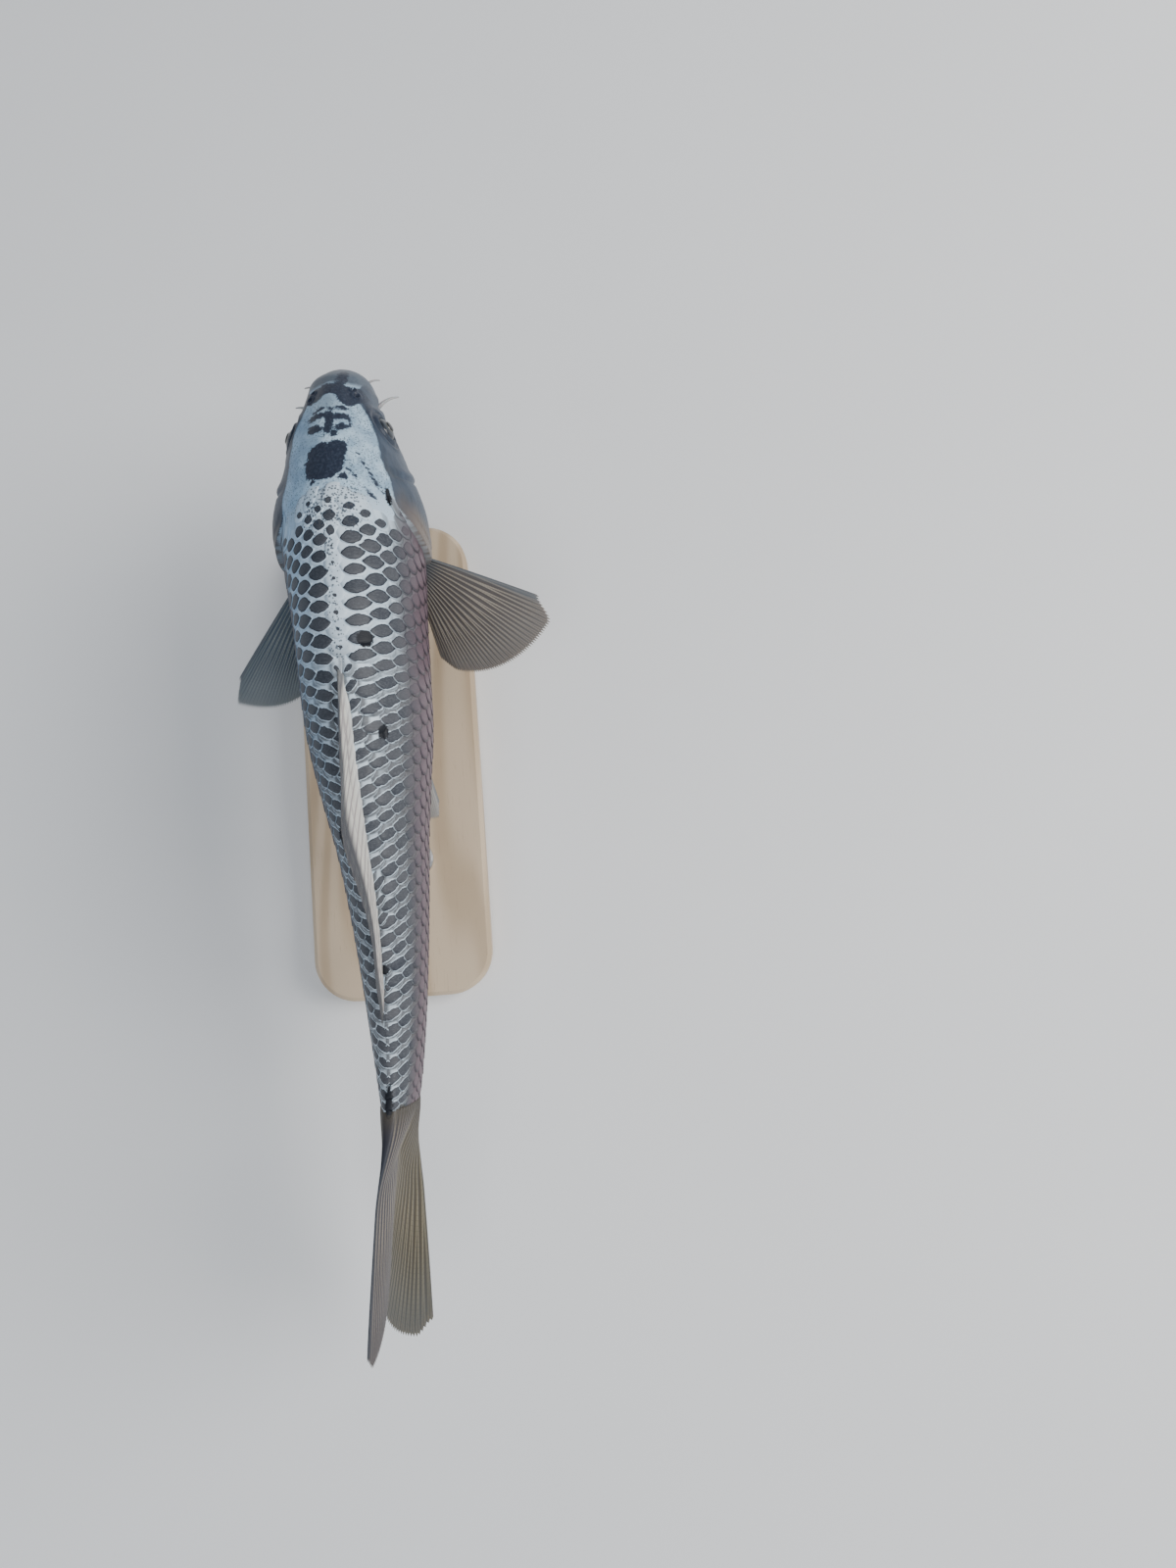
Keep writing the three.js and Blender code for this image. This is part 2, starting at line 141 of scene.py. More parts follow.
def along(rows, column, place):
    """Smooth curve through rows of (place, value, ...), read in one column."""
    rows = np.array(rows, float)
    x, y = rows[:, 0], rows[:, column]
    n = np.arange(len(x))
    before, after = np.maximum(n - 1, 0), np.minimum(n + 1, len(x) - 1)
    slope = (y[after] - y[before]) / (x[after] - x[before])
    i = np.clip(np.searchsorted(x, place, side="right") - 1, 0, len(x) - 2)
    span = x[i + 1] - x[i]
    t = np.clip((place - x[i]) / span, 0, 1)
    rise = y[i + 1] - y[i]
    leaving, arriving = slope[i] * span - rise, slope[i + 1] * span - rise
    return y[i] + rise * t + t * (1 - t) * ((1 - t) * leaving - t * arriving)


# ---------------------------------------------------------------- the body's form
def pose(s, left, up):
    """Turns distance from snout, offset to the left and height into a place in the model, in metres."""
    bank = np.radians(lerp(BANK_FRONT, BANK_TAIL, smooth((s - 240) / (TOTAL_LENGTH - 240))))
    turn = np.arctan2(along(BEND, 1, s + 4) - along(BEND, 1, s - 4), 8)
    x = left * np.cos(bank) + up * np.sin(bank)
    z = up * np.cos(bank) - left * np.sin(bank)
    place = [x * np.cos(turn) - along(BEND, 1, s), s - SNOUT_TO_ORIGIN + x * np.sin(turn), z + AXIS_HEIGHT]
    return np.stack(place, -1) * MM


def section(s, angle, extra=0.0):
    """Body outline: angle 0 is the left side, 90 the back, -90 the belly. Returns rows of (s, left, up)."""
    rounding = np.sqrt(1 - (1 - np.clip((s + extra) / SNOUT_ROUND, 0, 1)) ** 2)
    middle = along(BODY, 4, s)
    c, n = np.cos(np.radians(angle)), np.sin(np.radians(angle))
    reach = np.where(n > 0, along(BODY, 2, s) - middle, middle - along(BODY, 3, s))
    power = np.where(n > 0, 2 / UPPER_ROUNDNESS, 2 / LOWER_ROUNDNESS)
    left = (along(BODY, 1, s) * rounding + extra) * np.sign(c) * np.abs(c) ** power
    up = middle + (reach * rounding + extra) * np.sign(n) * np.abs(n) ** power
    return np.stack([s + 0 * left, left, up], -1)


def skin_inset(s):
    """Depth of the skin inside the body's outline: almost none on the bare head, and the coat's behind it."""
    return lerp(0.05, COAT, smooth((s - 72) / 16)) * between(s, 0, 2, SKIN_END + 1, 10)


def skin_point(s, angle):
    return section(s, angle, -skin_inset(s))


def mirrored(angle, side):
    """An angle on the left side, or its twin on the right."""
    return angle if side > 0 else 180 - angle


def skin_normal(s, angle):
    """Outward direction before the body is posed."""
    s = np.maximum(s, 0.3)
    forward = section(s + 0.25, angle) - section(s - 0.25, angle)
    round_body = section(s, angle + 0.5) - section(s, angle - 0.5)
    normal = np.cross(round_body, forward)
    return normal / (np.linalg.norm(normal, axis=-1, keepdims=True) + 1e-12)


def on_left(angle):
    """Folds an angle on the right side over to the left."""
    angle = (np.asarray(angle, float) + 90) % 360 - 90
    return np.where(angle > 90, 180 - angle, angle)


def gill_edge(angle):
    """Gill cover at each angle: distance from the snout to its rear edge, whether the angle is inside it,
    share of its height, and the bow of its outline."""
    v = (on_left(angle) - GILL["bottom"]) / (GILL["top"] - GILL["bottom"])
    inside = (v > 0) & (v < 1)
    bow = np.sqrt(np.clip(1 - 0.94 * (2 * v - 1) ** 2, 0.06, 1))
    return lerp(GILL["front"] + 20, GILL["rear"], bow), inside, v, bow


# ---------------------------------------------------------------- mesh helpers
def read(mesh, name, size):
    values = np.empty(len(mesh.vertices) * size)
    mesh.attributes[name].data.foreach_get("vector" if size == 3 else "value", values)
    return values.reshape(-1, size) if size == 3 else values


def write(mesh, name, values):
    """Stores one number or one vector per vertex."""
    values = np.asarray(values, float)
    kind, key = ("FLOAT_VECTOR", "vector") if values.ndim == 2 else ("FLOAT", "value")
    layer = mesh.attributes.get(name) or mesh.attributes.new(name, kind, "POINT")
    layer.data.foreach_set(key, values.ravel())


def places(mesh):
    values = np.empty(len(mesh.vertices) * 3)
    mesh.vertices.foreach_get("co", values)
    return values.reshape(-1, 3)


def move(mesh, points):
    mesh.vertices.foreach_set("co", np.asarray(points, float).ravel())
    mesh.update()


def to_object(bm, name):
    mesh = bpy.data.meshes.new(name)
    bm.to_mesh(mesh)
    bm.free()
    piece = bpy.data.objects.new(name, mesh)
    bpy.context.scene.collection.objects.link(piece)
    return piece


def make_tube(name, around, rings):
    """Closed upright tube of radius 1 and length 1, cut in rings and capped with a fan at each end."""
    bm = bmesh.new()
    bmesh.ops.create_cone(bm, cap_ends=True, cap_tris=True, segments=around, radius1=1, radius2=1, depth=1)
    long_edges = [e for e in bm.edges if abs(e.verts[0].co.z - e.verts[1].co.z) > 0.5]
    bmesh.ops.subdivide_edges(bm, edges=long_edges, cuts=rings - 1, use_grid_fill=True)
    return to_object(bm, name)


def finish_piece(piece, material, replaced=()):
    """Smooth shading, outward faces, material and the frame's own bookkeeping."""
    bm = bmesh.new()
    bm.from_mesh(piece.data)
    bmesh.ops.recalc_face_normals(bm, faces=bm.faces)
    for face in bm.faces:
        face.smooth = True
    bm.to_mesh(piece.data)
    bm.free()
    piece.data.materials.append(material)
    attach(piece, "root")
    if replaced:
        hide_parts(*replaced)


# ---------------------------------------------------------------- shader helpers
NODE_STEP = 180                # distance between nodes in the editor


class Tree:
    """Short calls that add nodes to one tree."""

    def __init__(self, tree):
        self.tree = tree
        self.nodes = tree.nodes
        self.across = 0

    def put(self, socket, value):
        """Links another node's socket or sets a plain value; a colour is its red, green and blue."""
        if isinstance(value, bpy.types.NodeSocket):
            self.tree.links.new(value, socket)
        elif value is not None:
            socket.default_value = (*value, 1.0) if socket.type == "RGBA" else value

    def node(self, kind, inputs=(), **settings):
        node = self.nodes.new(kind)
        self.across += NODE_STEP
        node.location = (self.across, 0)
        for key, value in settings.items():
            setattr(node, key, value)
        for key, value in dict(inputs).items():
            self.put(node.inputs[key], value)
        return node

    def math(self, operation, a, b=0.0, c=0.0):
        return self.node("ShaderNodeMath", {0: a, 1: b, 2: c}, operation=operation).outputs[0]

    def plus(self, a, b):
        return self.math("ADD", a, b)

    def minus(self, a, b):
        return self.math("SUBTRACT", a, b)

    def times(self, a, b):
        return self.math("MULTIPLY", a, b)

    def over(self, a, b):
        return self.math("DIVIDE", a, b)

    def most(self, a, b):
        return self.math("MAXIMUM", a, b)

    def fit(self, a, factor, offset):
        """The value times a factor, plus an offset."""
        return self.math("MULTIPLY_ADD", a, factor, offset)

    def absolute(self, a):
        """The value without its sign."""
        return self.math("ABSOLUTE", a)

    def step(self, value, low, high):
        """Eased step from 0 at low to 1 at high."""
        inputs = {"Value": value, "From Min": low, "From Max": high}
        return self.node("ShaderNodeMapRange", inputs, interpolation_type="SMOOTHSTEP").outputs[0]

    def mix(self, factor, a, b, **settings):
        return self.node("ShaderNodeMix", {0: factor, 6: a, 7: b}, data_type="RGBA", **settings).outputs[2]

    def tinted(self, a, b):
        """Two colours multiplied."""
        return self.mix(1.0, a, b, blend_type="MULTIPLY")

    def lay(self, tint, coat, mask, strength):
        """One colour over another, as thickly as the mask and a strength say."""
        return self.mix(self.times(mask, strength), tint, coat)

    def noise(self, vector, scale, detail=3.0, rough=0.55):
        inputs = {"Vector": vector, "Scale": scale, "Detail": detail, "Roughness": rough}
        return self.node("ShaderNodeTexNoise", inputs).outputs[0]

    def wave(self, *noise):
        """Noise about 0."""
        return self.minus(self.noise(*noise), 0.5)

    def attribute(self, name, output="Vector"):
        return self.node("ShaderNodeAttribute", attribute_name=name).outputs[output]

    def parts(self, name):
        """The three numbers stored in a piece's own attribute."""
        return self.split(self.attribute(name))

    def object_place(self):
        return self.node("ShaderNodeTexCoord").outputs["Object"]

    def split(self, vector):
        return self.node("ShaderNodeSeparateXYZ", {0: vector}).outputs

    def scaled(self, vector, scale):
        """The same vector stretched by three factors."""
        return self.node("ShaderNodeMapping", {"Vector": vector, "Scale": scale}).outputs[0]

    def bump(self, height, distance, strength=1.0, normal=None):
        inputs = {"Height": height, "Distance": distance, "Strength": strength, "Normal": normal}
        return self.node("ShaderNodeBump", inputs).outputs[0]


def new_material(name):
    material = bpy.data.materials.new(name)
    material.use_nodes = True
    tree = Tree(material.node_tree)
    return material, tree, tree.nodes["Principled BSDF"]


def paint(tree, shader, tint, rough, normal, plain=()):
    """Feeds a shader its colour, roughness and normal, and sets the values that are the same all over."""
    for label, value in (("Base Color", tint), ("Roughness", rough), ("Normal", normal)):
        tree.put(shader.inputs[label], value)
    for label, value in dict(plain).items():
        shader.inputs[label].default_value = value


def new_group(name, inputs, outputs):
    """A shader group with named sockets: inputs and outputs are (name, kind) pairs."""
    group = bpy.data.node_groups.new(name, "ShaderNodeTree")
    for label, kind in inputs:
        group.interface.new_socket(label, in_out="INPUT", socket_type=f"NodeSocket{kind}")
    for label, kind in outputs:
        group.interface.new_socket(label, in_out="OUTPUT", socket_type=f"NodeSocket{kind}")
    tree = Tree(group)
    return group, tree, tree.node("NodeGroupInput").outputs, tree.node("NodeGroupOutput").inputs


def use_group(tree, group, inputs):
    node = tree.node("ShaderNodeGroup", node_tree=group)
    for key, value in inputs.items():
        tree.put(node.inputs[key], value)
    return node.outputs


# ---------------------------------------------------------------- markings
# Slate patches on the head, in the plan view: distance from the snout, offset to the left, half length,
# half width and turn in degrees.
HEAD_PATCHES = [
    (19.6, 1.0, 4.3, 9.5, 0),       # saddle over the snout
    (21.4, 8.6, 4.2, 5.5, -14),     # its left wing
    (23.2, -8.6, 5.6, 6.2, -28),    # its right wing
    (12.2, -4.0, 5.8, 2.6, 6),      # prong to the nose
    (31.0, -15.8, 6.0, 1.4, -10),   # line down to the cheek
    (35.0, 6.4, 1.9, 4.8, -6),      # left forehead bars
    (31.0, 4.6, 1.0, 3.0, -10),
    (42.0, 6.6, 2.3, 3.6, 10),
    (39.0, 0.3, 6.8, 2.1, 8),       # centre of the forehead
    (31.2, -5.2, 1.2, 2.8, 8),      # right forehead bars
    (36.4, -5.4, 2.0, 4.4, 6),
    (41.5, -6.0, 2.0, 3.4, -20),
    (46.0, -1.8, 1.6, 2.0, 0),
    (57.5, 1.6, 7.0, 8.6, 6),       # nape patch, a rough square of four
    (62.6, 2.6, 7.0, 8.4, 0),
    (54.6, -3.4, 5.0, 4.4, 0),
    (62.0, 7.4, 6.6, 3.6, 0),
    (69.2, -5.4, 2.0, 2.4, 0),      # its ragged tail
    (70.0, 7.6, 1.4, 1.5, 0),
]
# Two lines of short dashes behind the right brow.
HEAD_PATCHES += [(57 + 2.6 * k, -12.0 - 1.1 * k, 0.45, 1.1, 48) for k in range(8)]
HEAD_PATCHES += [(66 + 2.9 * k, -8.5 - 1.9 * k, 0.5, 1.3, 40) for k in range(5)]
# Pale openings inside those patches.
HEAD_OPENINGS = [
    (14.3, 1.0, 1.1, 3.3, 0), (12.0, -9.8, 2.6, 3.4, 15), (25.6, 1.4, 3.4, 3.6, 0), (40.0, -7.4, 1.1, 1.2, 0),
]
# Black spots: distance from the snout, offset to the left, height, half length, half width.
SUMI = [
    (76.8, -22.6, 27.2, 4.6, 1.7),          # on the gill cover's upper edge
    (142.3, -9.9, 45.2, 3.8, 3.8),
    (180.8, -12.9, 40.0, 3.2, 3.0),
    (277.3, -1.2, 27.5, 2.4, 1.8),
    (223.3, 9.6, 33.7, 7.5, 3.0),
    (185.3, -25.0, 9.4, 0.9, 1.2),
    (237.3, -17.8, 6.9, 0.9, 1.2),
]


OUTSIDE = -9.0                 # a field's value far from every patch
PATCH_SQUARENESS = 2.6
TAIL_MARK = (331, 6.5, 1.5)    # black mark before the tail fin: place, half length, half width


def patch_field(s, left, patches):
    """Positive inside any patch, in millimetres from its edge."""
    field = np.full(s.shape, OUTSIDE)
    for at, side, half_length, half_width, turn in patches:
        c, n = math.cos(math.radians(turn)), math.sin(math.radians(turn))
        ds, dl = s - at, left - side
        along_patch = np.abs(ds * c + dl * n) / half_length
        over_patch = np.abs(dl * c - ds * n) / half_width
        r = (along_patch ** PATCH_SQUARENESS + over_patch ** PATCH_SQUARENESS) ** (1 / PATCH_SQUARENESS)
        field = np.maximum(field, (1 - r) * min(half_length, half_width))
    return field


def spot_field(s, left, up):
    """Positive inside any black spot, in millimetres from its edge."""
    field = np.full(s.shape, OUTSIDE)
    for at, side, height, half_length, half_width in SUMI:
        over = ((left - side) ** 2 + (up - height) ** 2) / half_width ** 2
        r = np.sqrt(((s - at) / half_length) ** 2 + over)
        field = np.maximum(field, (1 - r) * min(half_length, half_width))
    at, half_length, half_width = TAIL_MARK
    mark = np.sqrt(((s - at) / half_length) ** 2 + (left / half_width) ** 2)
    return np.maximum(field, np.where(up > 12, (1 - mark) * 1.4, OUTSIDE))


def cheek_tones(s, angle, folded):
    """Shares of the cheek's grey, of the cover's soft flap and of the gold along their borders."""
    edge, inside, v, _ = gill_edge(angle)
    border = lerp(48, 43, smooth((s - 62) / 8)) + 6 * bell(s - 25, 8) - 8 * smooth((20 - s) / 8)
    behind = smooth((edge + 1 - s) / 3)
    cheek = smooth((s - 9) / 8) * behind * smooth((border - folded) / 7) * smooth((folded + 92) / 56)
    flap = inside * bell(s - edge + 2.5, 5.0) * smooth((1.05 - v) / 0.3)
    gold = 0.25 * smooth((s - 50) / 14) * behind * bell(folded - border + 9, 6)
    gold = np.maximum(gold, inside * bell(s - edge + 6, 4) * smooth((0.95 - v) / 0.3))
    return np.where(s < 100, cheek, 0), flap, gold


def face_tones(s, left, up):
    """Shares of the dark lips, partly their own grey and partly painted shade over the snout's tip, of the
    dark round the eyes and of the crown's cream.
    """
    top = up > 0
    opening = smooth(patch_field(s, left, HEAD_OPENINGS[:1]) / 1.2) * top
    # the snout's tip and its underside get the lips' dark: partly their own tone, partly painted shade
    lips = smooth((17.5 - s) / 4) * (1 - 0.6 * opening)
    lips = np.maximum(lips, smooth((18 - s) / 6) * smooth((-6 - up) / 5))
    socket = np.linalg.norm(np.stack([s, np.abs(left), up], -1) - eye_centre(1), axis=1)
    lips = np.maximum(lips, 0.75 * bell(socket - 7.4, 0.7))
    orbit = np.maximum(bell(socket - 6.2, 0.9), 0.95 * bell(socket - 9.4, 0.8))
    orbit = np.maximum(orbit, 0.62 * smooth((13.5 - socket) / 4))
    crown = between(s, 20, 6, 36, 6) * bell(left - 1, 3.5) * top
    return lips, orbit, crown


def store_markings(mesh, body, angle):
    """Writes the fields that the skin's and the scales' materials both read."""
    s, left, up = body.T
    folded = on_left(angle)
    slate = np.minimum(patch_field(s, left, HEAD_PATCHES), -patch_field(s, left, HEAD_OPENINGS))
    shore, flap, gold = cheek_tones(s, angle, folded)
    lips, orbit, crown = face_tones(s, left, up)
    belly = smooth((-np.sin(np.radians(folded)) - 0.35) / 0.5)
    # the gold is cut to three tenths on the left side as painted shade
    gold = gold * lerp(1, 0.3, smooth(left / 10))
    write(mesh, "marks", np.stack([np.where(up > 0, slate, OUTSIDE), spot_field(s, left, up), shore], -1))
    write(mesh, "tones", np.stack([orbit, flap, belly], -1))
    write(mesh, "face", np.stack([lips, gold * shore, crown], -1))
    write(mesh, "coat", np.stack(coat_tones(s, left, folded), -1))
    write(mesh, "place", body / 10)


def coat_tones(s, left, folded):
    """Freckle density, brightness of the pale net and share of the low flank's mauve."""
    head = 0.6 * between(s, 22, 8, 90, 10) * smooth((folded - 34) / 10)
    nape = 0.85 * between(s, 70, 5, 104, 14) * smooth((folded - 52) / 20)
    middle = 0.9 * between(s, 90, 8, 156, 8) * bell(left - 1.5, 2.6)
    # shade: the left side, where the net reaches lower down the flank and is a tenth dimmer as painted shade
    shade = smooth((left + 6) / 14)
    low, span = lerp(18, 8, shade), lerp(60, 54, shade)
    net = smooth((folded - low) / span) * lerp(1.0, 0.74, smooth((s - 150) / 60)) * lerp(1, 0.9, shade)
    mauve = smooth((44 - folded) / 38)
    return np.maximum(np.maximum(head, nape), middle), net, mauve


# ---------------------------------------------------------------- head sculpting
def eye_centre(side):
    return section(EYE["at"], mirrored(EYE["angle"], side))


def gill_forms(s, up, folded, edge, inside, v, bow):
    """Gill cover, cheek plate in front of it and gill membranes."""
    # the cover rises towards its rear edge, then drops to a groove behind
    front = GILL["front"] + 16 * (1 - bow)
    u = np.clip((s - front) / (edge - front), 0, 1)
    fade = smooth(np.minimum(v, 1 - v) * 4 + 0.1) * inside
    rise = GILL["raise"] * smooth(u ** 0.8) * fade * smooth((edge - s) / 0.5)
    rise -= 0.9 * bell(s - edge - 1.4, 1.0) * inside * fade
    # thin soft flap along the cover's edge, set off by a shallow step
    rise -= 0.45 * smooth((s - edge + 6.5) / 1.2) * fade
    # the cheek plate has a raised edge and a channel behind it
    on_cheek = smooth(np.minimum(v + 0.12, 1 - v) * 5) * (v < 1)
    cheek_edge = 57 + 7 * np.sin(np.radians(folded * 1.7 + 25))
    rise += (0.75 * bell(s - cheek_edge + 1.8, 2.0) - 0.95 * bell(s - cheek_edge - 1.2, 0.8)) * on_cheek
    # seam between the cover's upper and lower plates, and low folds of the gill membrane
    seam = up + 25 - 0.42 * (s - 64)
    rise += (0.35 * bell(seam - 2.2, 1.4) - 0.55 * bell(seam, 0.7)) * smooth((s - 64) / 4) * fade
    for fold in (0, 1, 2):
        crease = bell(folded + 48 + 8 * fold + 0.12 * (s - 60), 1.3)
        rise -= 0.35 * crease * between(s, 42, 8, edge - 4, 8)
    # fine radiating ridges on the gill cover
    fan = np.arctan2(up - 12, s - 60)
    return rise + 0.10 * np.sin(fan * 46 + 0.15 * s) * u * fade * smooth((edge - 3 - s) / 6)


def mouth_forms(s, left, up):
    """Parting line, two rolled and creased lips and the folds round them."""
    dz = up - MOUTH_DROP + MOUTH_DROOP * left ** 2
    reach = smooth((MOUTH_CORNER - s) / 2.5)
    lip = smooth((MOUTH_CORNER + 1.5 - s) / 4)
    rise = (1.75 * bell(dz - 2.0, 1.25) + 1.5 * bell(dz + 2.0, 1.2)) * lip - 2.2 * bell(dz, 0.5) * reach
    rise -= (1.05 * bell(dz - 4.9, 0.8) + 0.95 * bell(dz + 4.9, 0.9)) * smooth((18 - s) / 5)
    creases = np.sin(np.arctan2(left, 16 - s) * 34)
    rise += 0.14 * creases * (bell(dz - 2.0, 1.1) + bell(dz + 2.0, 1.1)) * lip
    rise -= 0.9 * bell(s - 16.4, 1.5) * bell(up + 17.5, 4.5)
    # snout fold over the upper lip, and the jaw fold that runs back from the mouth corner
    rise += 0.6 * bell(dz - 7.2, 1.5) * smooth((16 - s) / 6)
    rise += 1.1 * bell(s - 13.5 - 0.30 * (up + 14), 2.0) * bell(up + 11.5, 4.0)
    behind = s - 0.38 * (up + 12)
    return rise + (0.5 * bell(behind - 21.4, 1.8) - 0.75 * bell(behind - 18.4, 0.9)) * bell(up + 8.5, 6)


def cheek_forms(s, left, up):
    """Plates under the eye, parted by shallow creases, and a row of pores."""
    under = up + 9 + 0.10 * (s - 24)
    rise = (0.30 * bell(under - 2.6, 1.8) - 0.35 * bell(under, 0.7)) * between(s, 21, 3, 54, 6)
    for at in (27, 33, 39.5, 46):
        pore = np.hypot(s - at, up + 5.6 + 0.10 * (at - 24))
        rise -= 0.45 * bell(pore, 0.5) * (np.abs(left) > 12)
    return rise


def eye_and_nostril_forms(point, side):
    """A sunken orbit inside a raised fleshy ring, and two pits with a raised rim."""
    distance = np.linalg.norm((point - eye_centre(side)) * (1, 1, 1.04), axis=1)
    rise = 1.15 * bell(distance - 6.8, 0.9) - 3.2 * (1 - smooth((distance - 4.6) / 1.0))
    rise += 0.45 * bell(distance - 10.6, 1.1) - 0.55 * bell(distance - 9.0, 0.8)
    for at, turn, radius in NOSTRILS:
        gap = np.linalg.norm(point - section(at, mirrored(turn, side)), axis=1)
        rise += 0.5 * bell(gap - radius * 1.55, 0.42) - 1.7 * bell(gap, radius * 0.62)
    return rise


def bone_forms(s, folded):
    """Brow over the eye, hollow beside the crown, cheek under the eye, nape line and throat."""
    rise = bell(s - 37, 9) * bell(folded - 42, 9) - 0.6 * bell(s - 30, 12) * bell(folded - 62, 8)
    rise += 0.5 * bell(s - 46, 8) * bell(folded + 12, 12)
    rise -= 0.5 * bell(s - 74 - 0.12 * (90 - folded), 2.2) * smooth((folded - 20) / 20)
    # the two gill membranes meet under the head
    meeting = bell(np.abs(folded + 90) - 9 * smooth((s - 40) / 40), 2.5)
    return rise - 0.9 * meeting * between(s, 34, 10, 92, 10)


def sculpt(s, angle, point):
    """Height of the skin's own forms over the plain body, in millimetres."""
    left, up = point[:, 1], point[:, 2]
    folded = on_left(angle)
    rise = gill_forms(s, up, folded, *gill_edge(angle)) + bone_forms(s, folded)
    rise += mouth_forms(s, left, up) + cheek_forms(s, left, up)
    return rise + eye_and_nostril_forms(point, 1) + eye_and_nostril_forms(point, -1)


# ---------------------------------------------------------------- skin
HEAD_RINGS, BODY_RINGS, AROUND = 205, 105, 300
HEAD_SHARE = HEAD_RINGS / (HEAD_RINGS + BODY_RINGS)
HEAD_SPAN = 98
TIP_SHARE = 0.16               # share of the head's rings on the snout's round tip
COVER_TUCK = 1.3               # how far the groove behind the gill cover runs in under its edge
ROOT_SLANT, ROOT_HEIGHT = 11, 44      # the skin's rear end leans forward over the tail root's height
FLESH_NODES = ("head", "gill_cover_left", "gill_cover_right", "trunk_front", "trunk_rear", "tail_stem")


def ring_place(t):
    """Distance from the snout for a ring share of 0 to 1: dense over the snout's round tip and the head."""
    head = np.clip(t / HEAD_SHARE, 0, 1)
    on_tip = SNOUT_ROUND * (1 - np.cos(np.clip(head / TIP_SHARE, 0, 1) * math.pi / 2))
    on_head = (HEAD_SPAN - SNOUT_ROUND) * np.clip((head - TIP_SHARE) / (1 - TIP_SHARE), 0, 1)
    on_body = (SKIN_END - HEAD_SPAN) * np.clip((t - HEAD_SHARE) / (1 - HEAD_SHARE), 0, 1)
    return on_tip + on_head + on_body


def make_skin(material):
    """One closed tube from snout to tail root, with the head's forms raised and cut in it."""
    piece = make_tube("skin", AROUND, HEAD_RINGS + BODY_RINGS)
    mesh = piece.data
    tube = places(mesh)
    radius = np.hypot(tube[:, 0], tube[:, 1])
    share = np.clip(0.5 - tube[:, 2], 0, 1)
    s = ring_place(share)
    angle = np.degrees(np.arctan2(tube[:, 1], tube[:, 0]))
    point = skin_point(np.maximum(s, 0.004), angle)
    centre = np.stack([s, 0 * s, along(BODY, 4, s)], -1)
    edge, inside, _, _ = gill_edge(angle)
    tuck = COVER_TUCK * inside * bell(s - edge - 1.2, 0.9)
    sculpted = point + skin_normal(s, angle) * sculpt(s, angle, point)[:, None]
    slant = ROOT_SLANT * smooth((s - STEM_END) / 20) * np.clip(point[:, 2] / ROOT_HEIGHT + 0.5, 0, 1)
    sculpted[:, 0] -= tuck + slant
    sculpted = np.where(radius[:, None] > 0.5, sculpted, centre + (0.3, 0, 0))
    sculpted[(radius < 0.5) & (s > 100), 0] = SKIN_END
    store_markings(mesh, point, angle)
    write(mesh, "ring", np.stack([share, angle, radius], -1))
    move(mesh, pose(*sculpted.T))
    unwrap_skin(mesh)
    finish_piece(piece, material, FLESH_NODES)


def unwrap_skin(mesh):
    """Flat map of the skin: snout to tail one way, belly round the back to belly the other."""
    ring = read(mesh, "ring", 3)
    corner = np.empty(len(mesh.loops), int)
    mesh.loops.foreach_get("vertex_index", corner)
    starts = np.empty(len(mesh.polygons), int)
    mesh.polygons.foreach_get("loop_start", starts)
    turn = (ring[corner, 1] + 90) % 360 / 360
    first = np.repeat(turn[starts], np.diff(np.append(starts, len(corner))))
    pole = ring[corner, 2] < 0.5
    turn = np.where(turn - first > 0.5, turn - 1, np.where(first - turn > 0.5, turn + 1, turn))
    turn = np.where(pole, first, turn)
    layer = mesh.uv_layers.new(name="OFBake")
    across = 0.01 + 0.98 * ring[corner, 0]
    layer.data.foreach_set("uv", np.stack([across, 0.02 + 0.96 * turn], -1).ravel())
    mesh.attributes.remove(mesh.attributes["ring"])


# ---------------------------------------------------------------- scales
class FlankMap:
    """Turns distance from the snout and distance round the flank into an angle on the body."""

    def __init__(self):
        self.s = np.arange(60.0, 346.0, 2.0)
        angles = np.arange(-150.0, 150.5, 1.0)
        grid_s, grid_a = np.meshgrid(self.s, angles, indexing="ij")
        points = section(grid_s, grid_a)
        stride = np.linalg.norm(np.diff(points, axis=1), axis=2)
        arc = np.concatenate([np.zeros((len(self.s), 1)), np.cumsum(stride, axis=1)], axis=1)
        self.w = np.arange(-110.0, 110.5, 1.0)
        self.angle = np.empty((len(self.s), len(self.w)))
        self.up_limit = np.empty(len(self.s))
        self.down_limit = np.empty(len(self.s))
        self.row = np.empty(len(self.s))
        for i, s in enumerate(self.s):
            level = along(LATERAL, 1, s)
            side = (angles > -60) & (angles < 60)
            zero = np.interp(level, points[i, side, 2], arc[i, side])
            self.angle[i] = np.interp(self.w, arc[i] - zero, angles)
            self.up_limit[i] = np.interp(90, angles, arc[i]) - zero
            self.down_limit[i] = zero - np.interp(-90, angles, arc[i])
            self.row[i] = self.up_limit[i] / along(ROWS, 1, s)

    def narrowed(self, s, w, side):
        """The nape's rows run closer together, and more so on the left."""
        up = np.interp(s, self.s, self.up_limit)
        gap = up - w
        squeeze = (0.33 if side > 0 else 0.10) * smooth((128 - s) / 40) * smooth((76 - np.abs(gap)) / 60)
        pull = 1.3 * gap / 7 * np.exp(0.5 - gap ** 2 / 98) * between(s, 88, 12, 170, 16)
        return up - gap * (1 - squeeze) + pull

    def angle_at(self, s, w):
        row = np.clip((s - self.s[0]) / 2, 0, len(self.s) - 1.001)
        column = np.clip(w - self.w[0], 0, len(self.w) - 1.001)
        i, j = row.astype(int), column.astype(int)
        u, v = row - i, column - j
        low = lerp(self.angle[i, j], self.angle[i, j + 1], v)
        high = lerp(self.angle[i + 1, j], self.angle[i + 1, j + 1], v)
        return lerp(low, high, u)

    def limits(self, s):
        return np.interp(s, self.s, self.up_limit), np.interp(s, self.s, self.down_limit)

    def row_height(self, s):
        return np.interp(s, self.s, self.row)


